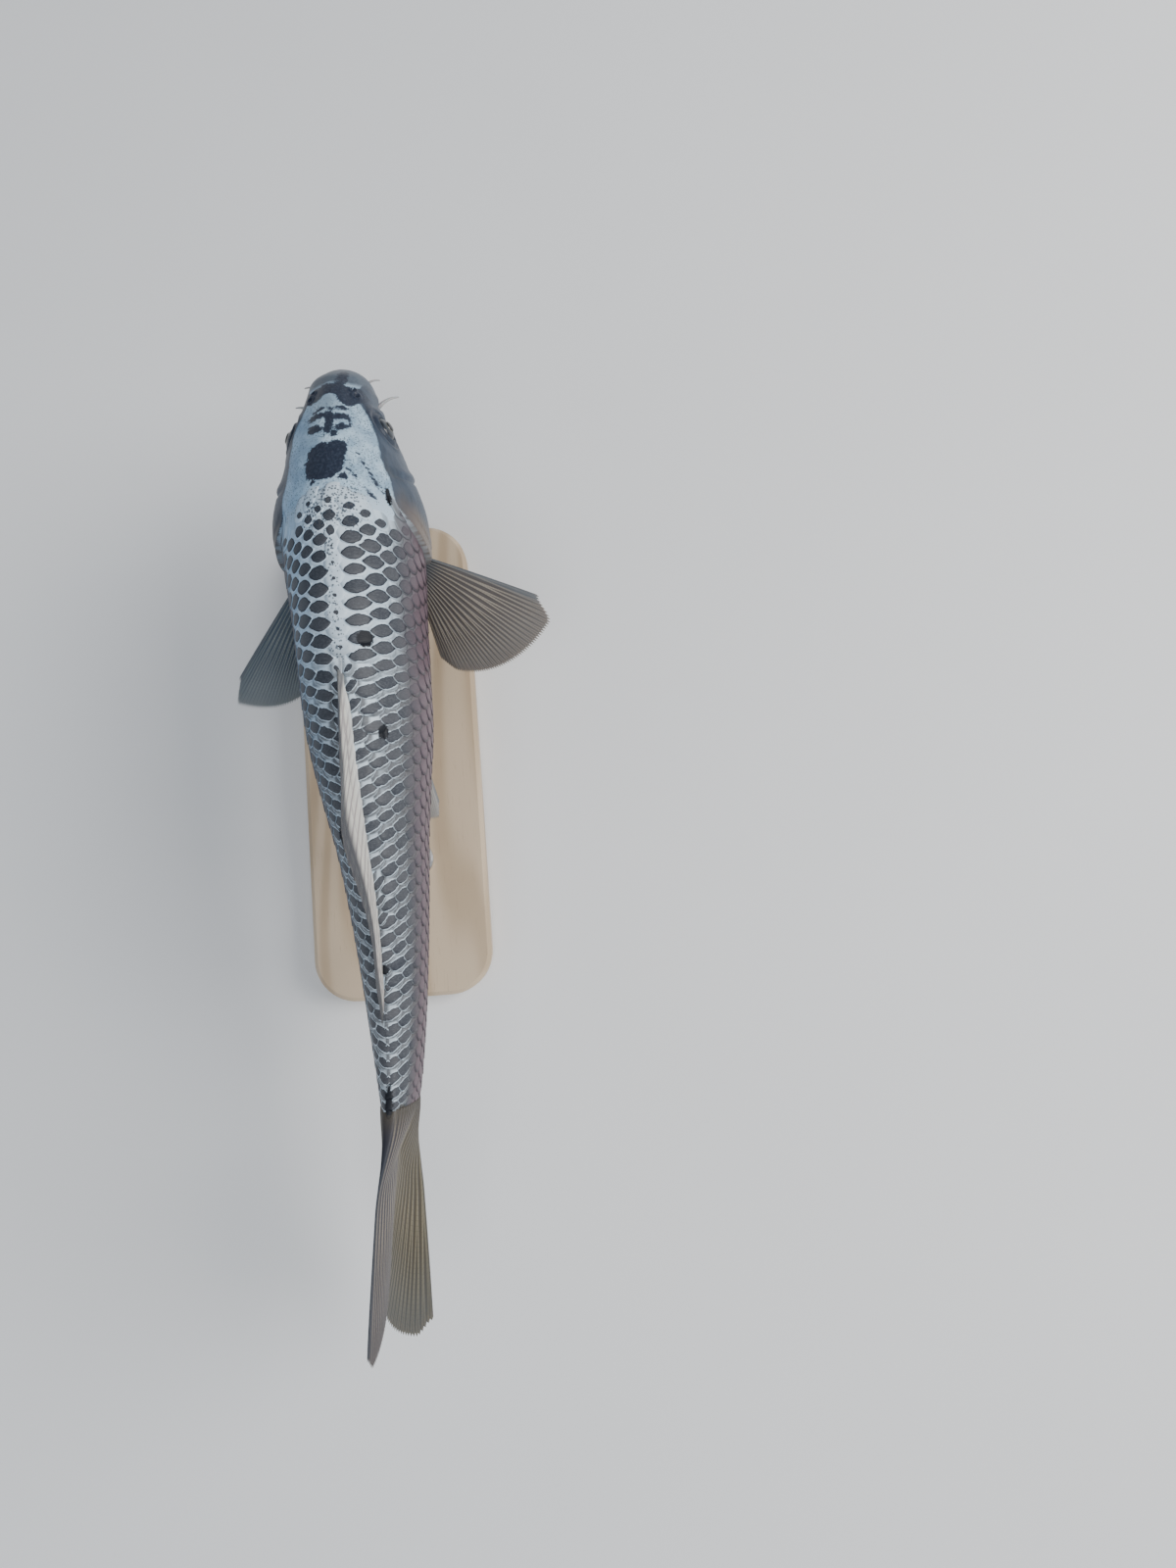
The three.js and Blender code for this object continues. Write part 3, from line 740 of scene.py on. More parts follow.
PLATE_THICK, PLATE_DOME = 0.22, 0.15
PLATE_LENGTH, PLATE_WIDTH = 0.98, 0.72   # half a plate's size, in pitches along and rows across
PLATE_ROOT, PLATE_TIP = -0.42, 0.5      # height of a plate's hidden front and of its free rear over the skin
PITCH = [(60, 6.9), (120, 7.3), (220, 7.2), (345, 6.2)]      # length of a scale's bare part
# Rows from the lateral line to the back, by distance from the snout.
ROWS = [(60, 6), (150, 6), (215, 6.6), (262, 5.6), (290, 4.5), (345, 4.5)]
DORSAL_FROM, MIDDLE_END = 150, 284       # between them a row of half scales runs beside the dorsal fin
ANAL_GAP = (236, 262)                    # no middle scales over the anal fin's root
NAPE_FROM, FLANK_FROM = 74, 90           # where the scales start on the nape and below the gill cover
FIRST_COLUMN, MIDLINE_END, MOST_ROWS = 70.0, 290, 9
CROWD_FROM, CROWDING = 328, 0.75         # the last scales before the tail fin are drawn together
GROWTH, TWIST = (0.97, 1.05), 0.03       # random size and turn of a plate
PATTERN_WIDTH = {1: 1.03, -1: 1.06}      # width of the pattern on a left and a right plate
# Where a plate's faces lie in its cell of the flat map: middle, half length and half width.
TOP_MAP, UNDER_MAP, RIM_GROWTH = (0.36, 0.30, 0.42), (0.87, 0.11, 0.40), 1.14
# Flat map of a flank, in millimetres: where it starts, its length and its width, and a cell's share of both.
MAP_START, MAP_LONG, MAP_WIDE = 68, 274.0, 176.0
CELL_LONG, CELL_WIDE = 0.92, 0.88


def make_plate():
    """One thin closed plate, two units wide, with its own flat map: x to the tail, y to the back, z out."""
    bm = bmesh.new()
    bmesh.ops.create_grid(bm, x_segments=6, y_segments=5, size=1)
    rim = bmesh.ops.extrude_edge_only(bm, edges=[e for e in bm.edges if e.is_boundary])["geom"]
    for vert in (g for g in rim if isinstance(g, bmesh.types.BMVert)):
        vert.co.z = -1
    bmesh.ops.holes_fill(bm, edges=[e for e in bm.edges if e.is_boundary], sides=0)
    flat = bm.loops.layers.uv.new("OFBake")
    for face in bm.faces:
        underside = all(v.co.z < -0.5 for v in face.verts)
        middle, half_long, half_wide = UNDER_MAP if underside else TOP_MAP
        for loop in face.loops:
            x, y, z = loop.vert.co
            grow = RIM_GROWTH if z < -0.5 and not underside else 1.0
            loop[flat].uv = (middle + half_long * x * grow, 0.5 + half_wide * y * grow)
    plate = bpy.data.meshes.new("plate")
    bm.to_mesh(plate)
    bm.free()
    return plate


def scale_rows(flank, side):
    """Roots of one side's scales: (distance from snout, distance round the flank, 1 or 2 in a middle row)."""
    roots = []
    column_starts = [FIRST_COLUMN]
    while column_starts[-1] < STEM_END + 2:
        column_starts.append(column_starts[-1] + along(PITCH, 1, column_starts[-1]))
    for row in range(-MOST_ROWS, MOST_ROWS + 1):
        for start in column_starts:
            s = start + (row % 2) * along(PITCH, 1, start) / 2
            height = flank.row_height(s)
            up, down = flank.limits(s)
            w = row * height
            if -down + 0.25 * height < w < up - 0.3 * height and is_scaled(flank, s, w, side):
                roots.append((s, w, 0))
    for start in column_starts:
        s = start + 1.5
        up, down = flank.limits(s)
        beside_dorsal = DORSAL_FROM < s < MIDDLE_END and (along(ROWS, 1, s) - 0.3) % 1 > 0.5
        on_midline = side > 0 and s < MIDLINE_END and not DORSAL_FROM < s < MIDDLE_END + 4
        if beside_dorsal:
            roots.append((s, up - 3.2, 2))
        elif on_midline and is_scaled(flank, start, up, side):
            roots.append((start, flank.limits(start)[0], 1))
        if side > 0 and is_scaled(flank, s, -down, side) and not ANAL_GAP[0] < s < ANAL_GAP[1]:
            roots.append((s, -down, 1))
    return np.array(roots)


def is_scaled(flank, s, w, side):
    """True behind the head: behind the nape line, the gill cover and the throat."""
    angle = flank.angle_at(s, flank.narrowed(s, w, side))
    folded = float(on_left(angle))
    edge, inside, _, _ = gill_edge(angle)
    last = STEM_END + 1 - 3 * smooth(folded / 60)
    if inside:
        return edge - 3.5 < s < last
    if folded > 0:
        nape = smooth((folded - GILL["top"]) / (80 - GILL["top"]))
        return lerp(FLANK_FROM, NAPE_FROM, nape) < s < last
    return FLANK_FROM < s < last


def copies(plate, count, name):
    """Many copies of one mesh joined in one piece, all still in the same place."""
    bm = bmesh.new()
    for _ in range(count):
        bm.from_mesh(plate)
    return to_object(bm, name)


def make_scales(name, flank, side, plate, material):
    """Thin domed plates in staggered rows, each dipping under the one in front."""
    roots = scale_rows(flank, side)
    count = len(roots)
    piece = copies(plate, count, name)
    mesh = piece.data
    x, y, z = places(mesh).reshape(count, -1, 3).transpose(2, 0, 1)
    a = x * np.sqrt(1 - 0.42 * y ** 2)
    b = y * np.sqrt(1 - 0.42 * np.clip(x, 0, 1) ** 2 - 0.22 * np.clip(-x, 0, 1) ** 2)
    grow = RNG.uniform(*GROWTH, (count, 1))
    twist = RNG.normal(0, TWIST, (count, 1))
    shade = RNG.uniform(0, 1, (count, 1))
    pitch = along(PITCH, 1, roots[:, :1])
    height = flank.row_height(roots[:, :1])
    da = a * PLATE_LENGTH * pitch * grow
    db = b * PLATE_WIDTH * height * grow * np.choose(roots[:, 2:].astype(int), (1, 1, 0.5))
    s = roots[:, :1] + da * np.cos(twist) - db * np.sin(twist)
    s = np.where(s > CROWD_FROM, CROWD_FROM + (s - CROWD_FROM) * CROWDING, s)
    w = roots[:, 1:2] + db * np.cos(twist) + da * np.sin(twist)
    angle = mirrored(flank.angle_at(s, flank.narrowed(s, w, side)), side)
    rim = np.clip(a ** 2 + b ** 2, 0, 1.3)
    lift = lerp(PLATE_ROOT, PLATE_TIP, (a + 1) / 2) + PLATE_DOME * (1 - rim) + 0.03 * shade
    lift = lift * lerp(1, 0.45, smooth((s - 326) / 16)) + np.where(z < -0.5, -PLATE_THICK, 0)
    s, angle, lift = s.ravel(), angle.ravel(), lift.ravel()
    base = skin_point(s, angle)
    body = base + skin_normal(s, angle) * lift[:, None]
    move(mesh, pose(*body.T))
    store_markings(mesh, base, angle)
    write(mesh, "plate", np.stack([a.ravel(), b.ravel() / PATTERN_WIDTH[side], (shade + 0 * a).ravel()], -1))
    write(mesh, "centre", (centre_size(roots, flank)[:, None] + 0 * a).ravel())
    unwrap_scales(mesh, roots, pitch, height)
    finish_piece(piece, material)


def centre_size(roots, flank):
    """Size of each scale's dark centre: specks on the nape and along the midline, full on the back."""
    s = roots[:, 0]
    up, _ = flank.limits(s)
    from_middle = up - roots[:, 1]
    size = lerp(0.58, 1.05, smooth((s - 71 - 0.25 * from_middle) / 18))
    size *= 1 - 0.66 * between(s, 88, 8, 154, 6) * smooth((6.5 - from_middle) / 4)
    size *= np.where(roots[:, 2] > 1, 0.95, 1)
    size *= 1 + RNG.uniform(-0.10, 0.05, len(s))
    return size


def unwrap_scales(mesh, roots, pitch, height):
    """Gives each plate its own small cell of the flat map, at its root's place on the flank."""
    layer = mesh.uv_layers["OFBake"]
    flat = np.empty(len(mesh.loops) * 2)
    layer.data.foreach_get("uv", flat)
    cell = flat.reshape(len(roots), -1, 2) - 0.5
    u = (roots[:, :1] - MAP_START + cell[:, :, 0] * CELL_LONG * pitch) / MAP_LONG
    v = (roots[:, 1:2] + MAP_WIDE / 2 + cell[:, :, 1] * CELL_WIDE * height) / MAP_WIDE
    layer.data.foreach_set("uv", np.stack([u, v], -1).ravel())


# ---------------------------------------------------------------- fins
# A ray's two forks: where each starts, over what share of the ray it opens, and how wide.
FORKS = [(0.28, 0.5, 0.25), (0.62, 0.45, 0.125)]


def ray_shape(across, v, spread):
    """Height of 0 to 1 of the rays, counted across the fin; each ray forks once and then again."""
    fork = np.abs(across % 1 - 0.5)
    for start, span, wide in FORKS:
        fork = np.abs(fork - wide * spread * smooth((v - start) / span))
    return bell(fork, lerp(0.17, 0.07, smooth(v * 1.1)))


# Sizes of the unpaired fins: start and end of the base, depth of the root in the body, length of the front
# and rear rays and their rake in degrees.
DORSAL = {"from": 150, "to": 284, "sink": 2.5, "front": 42, "rear": 31, "rake": (66, 78)}
DORSAL_LEAN = 6.2              # how far the folded front half leans left
DORSAL_LEFT, DORSAL_RIGHT = 1.5, 1.3      # the root starts left of the middle line and crosses to its right
DORSAL_CUT = 14                # how much shorter the last rays are
ANAL = {"from": 247, "to": 270, "sink": 2.5, "front": 46, "rear": 24, "rake": (52, 66)}


def dorsal_place(u, v):
    base = lerp(DORSAL["from"], DORSAL["to"], u)
    rake = np.radians(lerp(*DORSAL["rake"], smooth(u * 1.7)))
    reach = lerp(DORSAL["front"], DORSAL["rear"], smooth(u * 1.25)) * lerp(0.62, 1, smooth(u * 9))
    reach = (reach - DORSAL_CUT * smooth((u - 0.72) * 3.6)) * v
    up = along(BODY, 2, base) - DORSAL["sink"] + reach * np.cos(rake)
    upright = 1 - 0.88 * smooth((u - 0.22) / 0.5)
    lean = DORSAL_LEAN * smooth(u * 2.8) * upright + 0.6 * np.sin(9 * u)
    behind = smooth(u / 0.15)
    root = DORSAL_RIGHT * behind * (1 - smooth((u - 0.3) / 0.3))
    left = v * lean + DORSAL_LEFT * (1 - behind) - (1 - v) * root
    return base + reach * np.sin(rake), left, up


def anal_place(u, v):
    base = lerp(ANAL["from"], ANAL["to"], u)
    rake = np.radians(lerp(*ANAL["rake"], u))
    reach = lerp(ANAL["front"], ANAL["rear"], smooth(u * 1.15)) * lerp(0.75, 1, smooth(u * 6)) * v
    up = along(BODY, 3, base) + ANAL["sink"] - reach * np.cos(rake)
    return base + reach * np.sin(rake), 0.03 * reach + 0.6 * v * np.sin(6 * u), up


DORSAL_RAYS, ANAL_RAYS, LOBE_RAYS, PECTORAL_RAYS, PELVIC_RAYS = 21, 8, 10, 16, 9
CAUDAL = {"fork": 58, "span": 42, "root": 21.5}
# Each lobe: up or down, length, fullness of the rim, sideways twist and swing of its root.
CAUDAL_LOBES = {"upper": (1, 97, 1.5, (4, -18, 14), 3.4), "lower": (-1, 111, 2.0, (4, 36, -46), -2.5)}


def caudal_place(side, lobe, fullness, twist, swing):
    """Half of the tail fin: u runs from the fork's middle out to the leading edge."""

    def place(u, v):
        u, v = np.clip(u, 0, 1), np.clip(v, 0, 1)
        reach = lerp(CAUDAL["fork"], lobe, 1 - (1 - u) ** fullness) * (1 - 0.06 * smooth((u - 0.86) * 7))
        left = (twist[0] + twist[1] * u + twist[2] * u ** 2) * v ** 1.5 * smooth(v * 3.5)
        fan = v * (1 + 0.35 * (1 - v) * u)
        height = lerp(CAUDAL["root"] * u, CAUDAL["span"] * u ** 0.92, fan) + 0.15
        left = left + swing * smooth((v - 0.1) * 3) * (1 - v) * u
        return STEM_END + 0.15 + v * reach, left, side * height

    return place


def fan_place(side, lead, trail, lead_long, trail_long, fullness, roots, rise, droop, wave):
    """A paired fin: u runs from its leading ray to its last, v from root to rim."""
    front, rear = roots

    def place(u, v):
        angle = np.radians(lerp(lead, trail, u))
        corner = 1 - 0.16 * smooth(1 - 7 * u) - 0.1 * smooth((u - 0.86) * 7)
        reach = (lerp(lead_long, trail_long, u) + fullness * np.sin(np.pi * u)) * corner
        s = lerp(front[0], rear[0], u) + v * reach * np.cos(angle)
        left = lerp(front[1], rear[1], u) + v * reach * np.sin(angle)
        up = lerp(front[2], rear[2], u) + v * lerp(*rise, u) - droop * v ** 2 + wave * v * np.sin(7 * u)
        return s, side * left, up

    return place


def make_sheet(name, place, rays, length_cells, thick, material, replaced):
    """A closed thin fin: a grid with two faces and a rim, swollen along its rays and scalloped at its rim."""
    bm = bmesh.new()
    bmesh.ops.create_grid(bm, x_segments=rays * 8, y_segments=length_cells, size=1)
    bmesh.ops.solidify(bm, geom=bm.faces[:], thickness=1.0)
    piece = to_object(bm, name)
    mesh = piece.data
    x, y, z = places(mesh).T
    u, v = (x + 1) / 2, (y + 1) / 2
    face = np.where(z > z.mean(), 1.0, -1.0)
    ridge = ray_shape(u * rays, v, thick["spread"])
    ends = smooth(np.minimum(u, 1 - u) * rays * 1.2)
    long = v * (1 - thick["scallop"] * (1 - ridge) * smooth((v - 0.8) * 5))
    step = 0.004
    s, left, up = place(u, long)
    swell = thick["swell"] * (1 - smooth(v / 0.36)) * np.sqrt(1 - 0.93 * u ** 2)
    across = pose(*place(u + step, long)) - pose(*place(u - step, long))
    outward = pose(*place(u, long + step)) - pose(*place(u, long - step))
    normal = np.cross(across, outward)
    normal /= np.linalg.norm(normal, axis=1, keepdims=True) + 1e-12
    centre = pose(s, left + face * swell * np.sign(np.median(normal[:, 0])), up)
    web = lerp(thick["web"] * 1.5, thick["web"], smooth(v * 2))
    half = web + thick["ray"] * ridge * lerp(1, 0.35, v) + thick["flesh"] * (1 - v) ** thick["taper"]
    lead = 1 + thick["lead"] * bell(1 - u if thick["lead_last"] else u, 0.03) * (1 - 0.6 * v)
    half = half * lead * lerp(0.25, 1, smooth((1 - v) * 14)) * lerp(0.4, 1, ends)
    write(mesh, "fin", np.stack([u, v, ridge], -1))
    write(mesh, "place", np.stack([u * rays, v, face], -1))
    move(mesh, centre + normal * (face * half * MM)[:, None])
    finish_piece(piece, material, replaced)


# Half thickness of the web, what the rays and the fleshy root add, and how the rim and the lead are made.
FIN_THICKNESS = {
    "web": 0.14, "ray": 0.26, "flesh": 1.3, "taper": 6, "lead": 1.2, "lead_last": False, "scallop": 0.035,
    "spread": 1, "swell": 0,
}
FOLDED_THICKNESS = FIN_THICKNESS | {
    "ray": 0.15, "flesh": 0.9, "taper": 4, "lead": 2.2, "scallop": 0.03, "spread": 0.35,
}
LOBE_THICKNESS = FIN_THICKNESS | {"flesh": 0, "swell": 6.6, "lead": 1.6, "lead_last": True, "scallop": 0.02}
# Each paired fin: angles of its leading and last rays, their lengths, fullness of the rim, front and rear
# of its root, rise of those rays, droop and wave.
PECTORALS = {
    "left": (38.5, 9, 77, 37, 7, [(84, 27.5, -26), (97, 23, -34)], (-5, -9), 3, 1),
    "right": (66, 11, 70, 38, 6, [(87, 26.5, -26), (99, 22, -34)], (-2, -9), 4, 1),
}
PELVIC = (8, -5, 46, 32, 3, [(164, 14, -36), (172, 8.5, -40)], (-19, -8), 1, 0.6)


def make_fins(materials):
    """Every fin, one after another; each takes the place of its own solid."""
    def fin(piece, place, rays, cells, thick, kind, node):
        make_sheet(piece, place, rays, cells, thick, materials[kind], [node])

    fin("dorsal_fin_rays", dorsal_place, DORSAL_RAYS, 34, FOLDED_THICKNESS, "dorsal", "dorsal_fin")
    fin("anal_fin_rays", anal_place, ANAL_RAYS, 40, FOLDED_THICKNESS, "paired", "anal_fin")
    for name, (side, *shape) in CAUDAL_LOBES.items():
        fin(f"caudal_{name}_rays", caudal_place(side, *shape), LOBE_RAYS, 90, LOBE_THICKNESS, f"tail_{name}",
            f"caudal_fin_{name}")
    for name, side in SIDES.items():
        fin(f"pectoral_{name}_rays", fan_place(side, *PECTORALS[name]), PECTORAL_RAYS, 60, FIN_THICKNESS,
            f"pectoral_{name}", f"pectoral_fin_{name}")
        fin(f"pelvic_{name}_rays", fan_place(side, *PELVIC), PELVIC_RAYS, 40, FIN_THICKNESS, "paired",
            f"pelvic_fin_{name}")


# ---------------------------------------------------------------- eyes
EYE_GAP = 0.1                  # how far the ball stays inside its own solid
LENS_RISE, IRIS_DROP = 0.07, 0.03


def make_eye(name, side, material):
    """Flattened ball in its orbit, with the lens bulging through the pupil and a sunken iris round it."""
    bm = bmesh.new()
    bmesh.ops.create_uvsphere(bm, u_segments=64, v_segments=48, radius=1)
    piece = to_object(bm, name)
    mesh = piece.data
    ball = places(mesh)
    s, angle = EYE["at"], mirrored(EYE["angle"], side)
    out = skin_normal(s, angle)
    back = section(s + 1, angle) - section(s - 1, angle)
    back -= out * (back @ out)
    back /= np.linalg.norm(back)
    over = np.cross(out, back)
    radius = np.hypot(ball[:, 0], ball[:, 1])
    front = ball[:, 2] > 0
    relief = LENS_RISE * smooth((0.46 - radius) / 0.12) - IRIS_DROP * bell(radius - 0.54, 0.08)
    relief = np.where(front, relief, 0)
    shape = ball * (1 + relief[:, None])
    centre = section(s, angle) - out * EYE["sunk"]
    point = centre + out * shape[:, 2:] * EYE["depth"]
    point += back * shape[:, :1] * (EYE["length"] - EYE_GAP)
    point += over * shape[:, 1:2] * (EYE["height"] - EYE_GAP)
    turn = np.arctan2(ball[:, 1], ball[:, 0])
    write(mesh, "iris", np.stack([np.where(front, radius, 1.2), np.cos(turn), np.sin(turn)], -1))
    move(mesh, pose(*point.T))
    finish_piece(piece, material, [name.replace("eyeball", "eye")])


# ---------------------------------------------------------------- feelers
BARBELS = {
    "front": {"root": (6.5, 12, -10), "tip": (4.5, 18, -11.5), "sag": 0.6, "thick": 0.8},
    "rear": {"root": (16.5, 14, -17.5), "tip": (9.5, 25, -20), "sag": 1.4, "thick": 1.5},
}
BARBEL_TIP = 0.28              # radius before the round end
BARBEL_ROUND = 0.04            # share of the length that the round end takes


def make_barbel(name, side, shape, material):
    """Soft tapering feeler with a swollen root and fine creases round it."""
    piece = make_tube(name, 20, 61)
    mesh = piece.data
    x, y, z = places(mesh).T
    t = np.clip(z + 0.5, 0, 1)
    root, tip = np.array(shape["root"]), np.array(shape["tip"])

    def middle(t):
        s = lerp(root[0], tip[0], t) - shape["sag"] * np.sin(np.pi * t)
        left = lerp(root[1] - 0.8, tip[1], t)
        up = lerp(root[2], tip[2], t) + 0.6 * shape["sag"] * np.sin(np.pi * t)
        return pose(s, side * left, up)

    centre = middle(t)
    ahead = middle(t + 0.01) - middle(t - 0.01)
    ahead /= np.linalg.norm(ahead, axis=1, keepdims=True)
    first = np.cross(ahead, (0.0, 1.0, 0.0))
    first /= np.linalg.norm(first, axis=1, keepdims=True)
    second = np.cross(ahead, first)
    past = np.clip(t - 1 + BARBEL_ROUND, 0, 1) / BARBEL_ROUND
    radius = lerp(shape["thick"] * 0.95, BARBEL_TIP, t ** 0.8) * np.sqrt(np.clip(1 - past ** 2, 0.02, 1))
    radius = radius * (1 + 0.35 * bell(t, 0.08)) * (1 + 0.035 * np.sin(t * 110))
    write(mesh, "fin", np.stack([t, np.hypot(x, y), 0 * t], -1))
    move(mesh, centre + (first * x[:, None] + second * y[:, None]) * (radius * MM)[:, None])
    finish_piece(piece, material, [name.replace("feeler", "barbel")])


# ---------------------------------------------------------------- colours
WHITE = (0.47, 0.63, 0.76)
WHITE_COOL = (0.26, 0.38, 0.50)
CREAM = (0.20, 0.26, 0.29)
CHEEK = (0.053, 0.075, 0.110)
CHEEK_DARK = (0.026, 0.040, 0.064)
GOLD = (0.150, 0.132, 0.100)
# LIP and LIP_DARK: the lips' own grey, darkened further as painted shade over the snout's tip
LIP = (0.075, 0.090, 0.115)
LIP_DARK = (0.022, 0.032, 0.052)
ORBIT = (0.016, 0.024, 0.040)
SPECK = (0.15, 0.21, 0.28)
FLAP = (0.165, 0.130, 0.105)
BELLY = (0.38, 0.38, 0.38)
BELLY_WARM = (0.44, 0.40, 0.36)
SLATE = (0.020, 0.027, 0.046)
SLATE_LIGHT = (0.040, 0.052, 0.078)
SUMI_BLACK = (0.007, 0.009, 0.014)
GRAIN = (0.030, 0.042, 0.062)
CENTRE_DARK = (0.037, 0.043, 0.055)
CENTRE_LIGHT = (0.070, 0.073, 0.083)
CENTRE_LINE = (0.018, 0.023, 0.034)
# LEFT_SHADE: painted shade with a blue cast, laid over the left side's colours
LEFT_SHADE = (0.60, 0.73, 0.86)
NET = (0.46, 0.58, 0.68)
NET_LIGHT = (0.62, 0.72, 0.80)
NET_DIM = (0.135, 0.145, 0.160)
HALO = (0.066, 0.066, 0.070)
HALO_LIGHT = (0.135, 0.138, 0.147)
TAIL_FLESH = (0.030, 0.027, 0.023)
TAIL_FLESH_LIGHT = (0.080, 0.072, 0.058)
LOW = (0.104, 0.070, 0.085)
LOW_LIGHT = (0.132, 0.090, 0.109)
LOW_LINE = (0.050, 0.040, 0.052)
PUPIL = (0.004, 0.005, 0.007)
LENS_RIM = (0.045, 0.052, 0.065)
IRIS = (0.014, 0.020, 0.030)
IRIS_LIGHT = (0.055, 0.064, 0.075)
IRIS_GOLD = (0.10, 0.10, 0.085)
IRIS_EDGE = (0.014, 0.019, 0.028)
FEELER = (0.26, 0.27, 0.29)
FEELER_LIGHT = (0.46, 0.46, 0.45)
FEELER_ROOT = (0.13, 0.14, 0.165)
ASH = (0.42, 0.31, 0.20)
ASH_LIGHT = (0.56, 0.44, 0.31)
ASH_PALE = (0.60, 0.49, 0.36)
ASH_PORE = (0.25, 0.17, 0.10)
STEEL = (0.52, 0.53, 0.54)
STEEL_LIGHT = (0.66, 0.66, 0.66)
FLOOR = (0.76, 0.77, 0.78)
FLOOR_LIGHT = (0.80, 0.81, 0.82)


# ---------------------------------------------------------------- shader groups
def white_tint(tree, place, cloud, crown):
    """White of the head: cooler in clouds, cream on the crown, finely specked; the net's own behind it."""
    white = tree.mix(tree.step(cloud, 0.3, 0.7), WHITE_COOL, WHITE)
    cream = tree.mix(tree.noise(place, 5.0), CREAM, WHITE_COOL)
    white = tree.lay(white, cream, crown, 0.8)
    specks = tree.step(tree.noise(place, 10.0, 3.0, 0.7), 0.55, 0.63)
    white = tree.lay(white, SPECK, specks, 0.75)
    return tree.mix(tree.step(tree.split(place)[0], 7.2, 8.4), white, NET)


def ground_tint(tree, place, cheek, orbit, flap, belly, lips, gold, crown):
    """Colour of the bare skin before its slate, spots and freckles."""
    fine = tree.wave(place, 9.0, 4.0, 0.6)
    cloud = tree.noise(place, 1.2, 4.0)
    streaks = tree.noise(tree.scaled(place, (0.35, 1.3, 1.3)), 2.6, 4.0, 0.5)
    streak = tree.minus(streaks, 0.5)
    grey = tree.mix(tree.step(streaks, 0.2, 0.8), CHEEK_DARK, CHEEK)
    grey = tree.mix(tree.times(gold, tree.step(cloud, 0.2, 0.9)), grey, GOLD)
    edge = tree.fit(streak, 1.3, tree.fit(fine, 0.5, cheek))
    ground = tree.mix(tree.step(edge, 0.25, 0.75), white_tint(tree, place, cloud, crown), grey)
    # lips: their own grey with painted shade over the snout's tip
    ground = tree.lay(ground, tree.mix(streaks, LIP_DARK, LIP), lips, 0.9)
    ground = tree.lay(ground, FLAP, flap, 0.8)
    fleshy = tree.step(tree.fit(streak, 1.2, tree.split(place)[0]), 32.5, 33.5)
    rays = tree.noise(tree.scaled(place, (0.25, 6.0, 6.0)), 2.2, 2.0)
    ground = tree.mix(fleshy, ground, tree.mix(tree.step(rays, 0.45, 0.65), TAIL_FLESH, TAIL_FLESH_LIGHT))
    ground = tree.lay(ground, tree.mix(tree.noise(place, 2.0), BELLY, BELLY_WARM), belly, 0.9)
    return tree.lay(ground, ORBIT, orbit, 0.85)


def markings_group():
    """Ground colour and pattern masks that the skin and the scales share, and the painted shade over the left
    side.
    """
    masks = [(label, "Float") for label in ("Slate", "Sumi", "Belly")]
    group, tree, _, out = new_group("koi_markings", [], [("Ground", "Color"), *masks, ("Shade", "Color")])
    place = tree.attribute("place")
    slate, sumi, cheek = tree.parts("marks")
    orbit, flap, belly = tree.parts("tones")
    lips, gold, crown = tree.parts("face")
    fine = tree.wave(place, 9.0, 4.0, 0.6)
    ragged = tree.fit(fine, 3.4, tree.times(tree.wave(place, 2.6, 2.0), 2.6))
    # offside: the left side above the belly, which gets the painted blue shade
    offside = tree.times(tree.step(tree.split(place)[1], 0.1, 2.2), tree.step(belly, 0.6, 0.0))
    tree.put(out["Ground"], ground_tint(tree, place, cheek, orbit, flap, belly, lips, gold, crown))
    tree.put(out["Slate"], tree.step(tree.plus(slate, ragged), -0.35, 0.3))
    tree.put(out["Sumi"], tree.step(tree.fit(fine, 2.4, sumi), -0.3, 0.25))
    tree.put(out["Shade"], tree.mix(offside, (1, 1, 1), LEFT_SHADE))
    tree.put(out["Belly"], belly)
    return group


def freckles_group():
    """Small dark grains of pigment, thick where the density is high."""
    inputs = [("Vector", "Vector"), ("Size", "Float"), ("Density", "Float")]
    group, tree, given, out = new_group("koi_freckles", inputs, [("Mask", "Float")])
    cells = tree.node("ShaderNodeTexVoronoi", {"Vector": given["Vector"], "Scale": given["Size"]})
    patchy = tree.noise(given["Vector"], 1.1, 2.0)
    reach = tree.times(given["Density"], tree.step(patchy, 0.2, 0.55))
    reach = tree.times(reach, 0.50)
    rough = tree.wave(tree.scaled(given["Vector"], (3, 3, 3)), given["Size"])
    edge = tree.fit(rough, 0.35, tree.minus(reach, cells.outputs["Distance"]))
    tree.put(out["Mask"], tree.times(tree.step(edge, -0.05, 0.08), tree.step(reach, 0.02, 0.1)))
    return group


def rays_group():
    """Masks of fin rays that fork twice and of their cross joints, from the count across and the way out."""
    inputs = [("Across", "Float"), ("Out", "Float"), ("Spread", "Float")]
    group, tree, given, out = new_group("koi_fin_rays", inputs, [("Ray", "Float"), ("Joint", "Float")])
    fork = tree.absolute(tree.minus(tree.math("FRACT", given["Across"]), 0.5))
    for start, span, wide in FORKS:
        opened = tree.times(tree.step(given["Out"], start, start + span), tree.times(given["Spread"], wide))
        fork = tree.absolute(tree.minus(fork, opened))
    width = tree.fit(tree.step(given["Out"], 0.0, 0.9), -0.12, 0.20)
    tree.put(out["Ray"], tree.step(tree.over(fork, width), 1.25, 0.55))
    beat = tree.math("FRACT", tree.times(given["Out"], 46.0))
    tree.put(out["Joint"], tree.step(tree.absolute(tree.minus(beat, 0.5)), 0.36, 0.5))
    return group


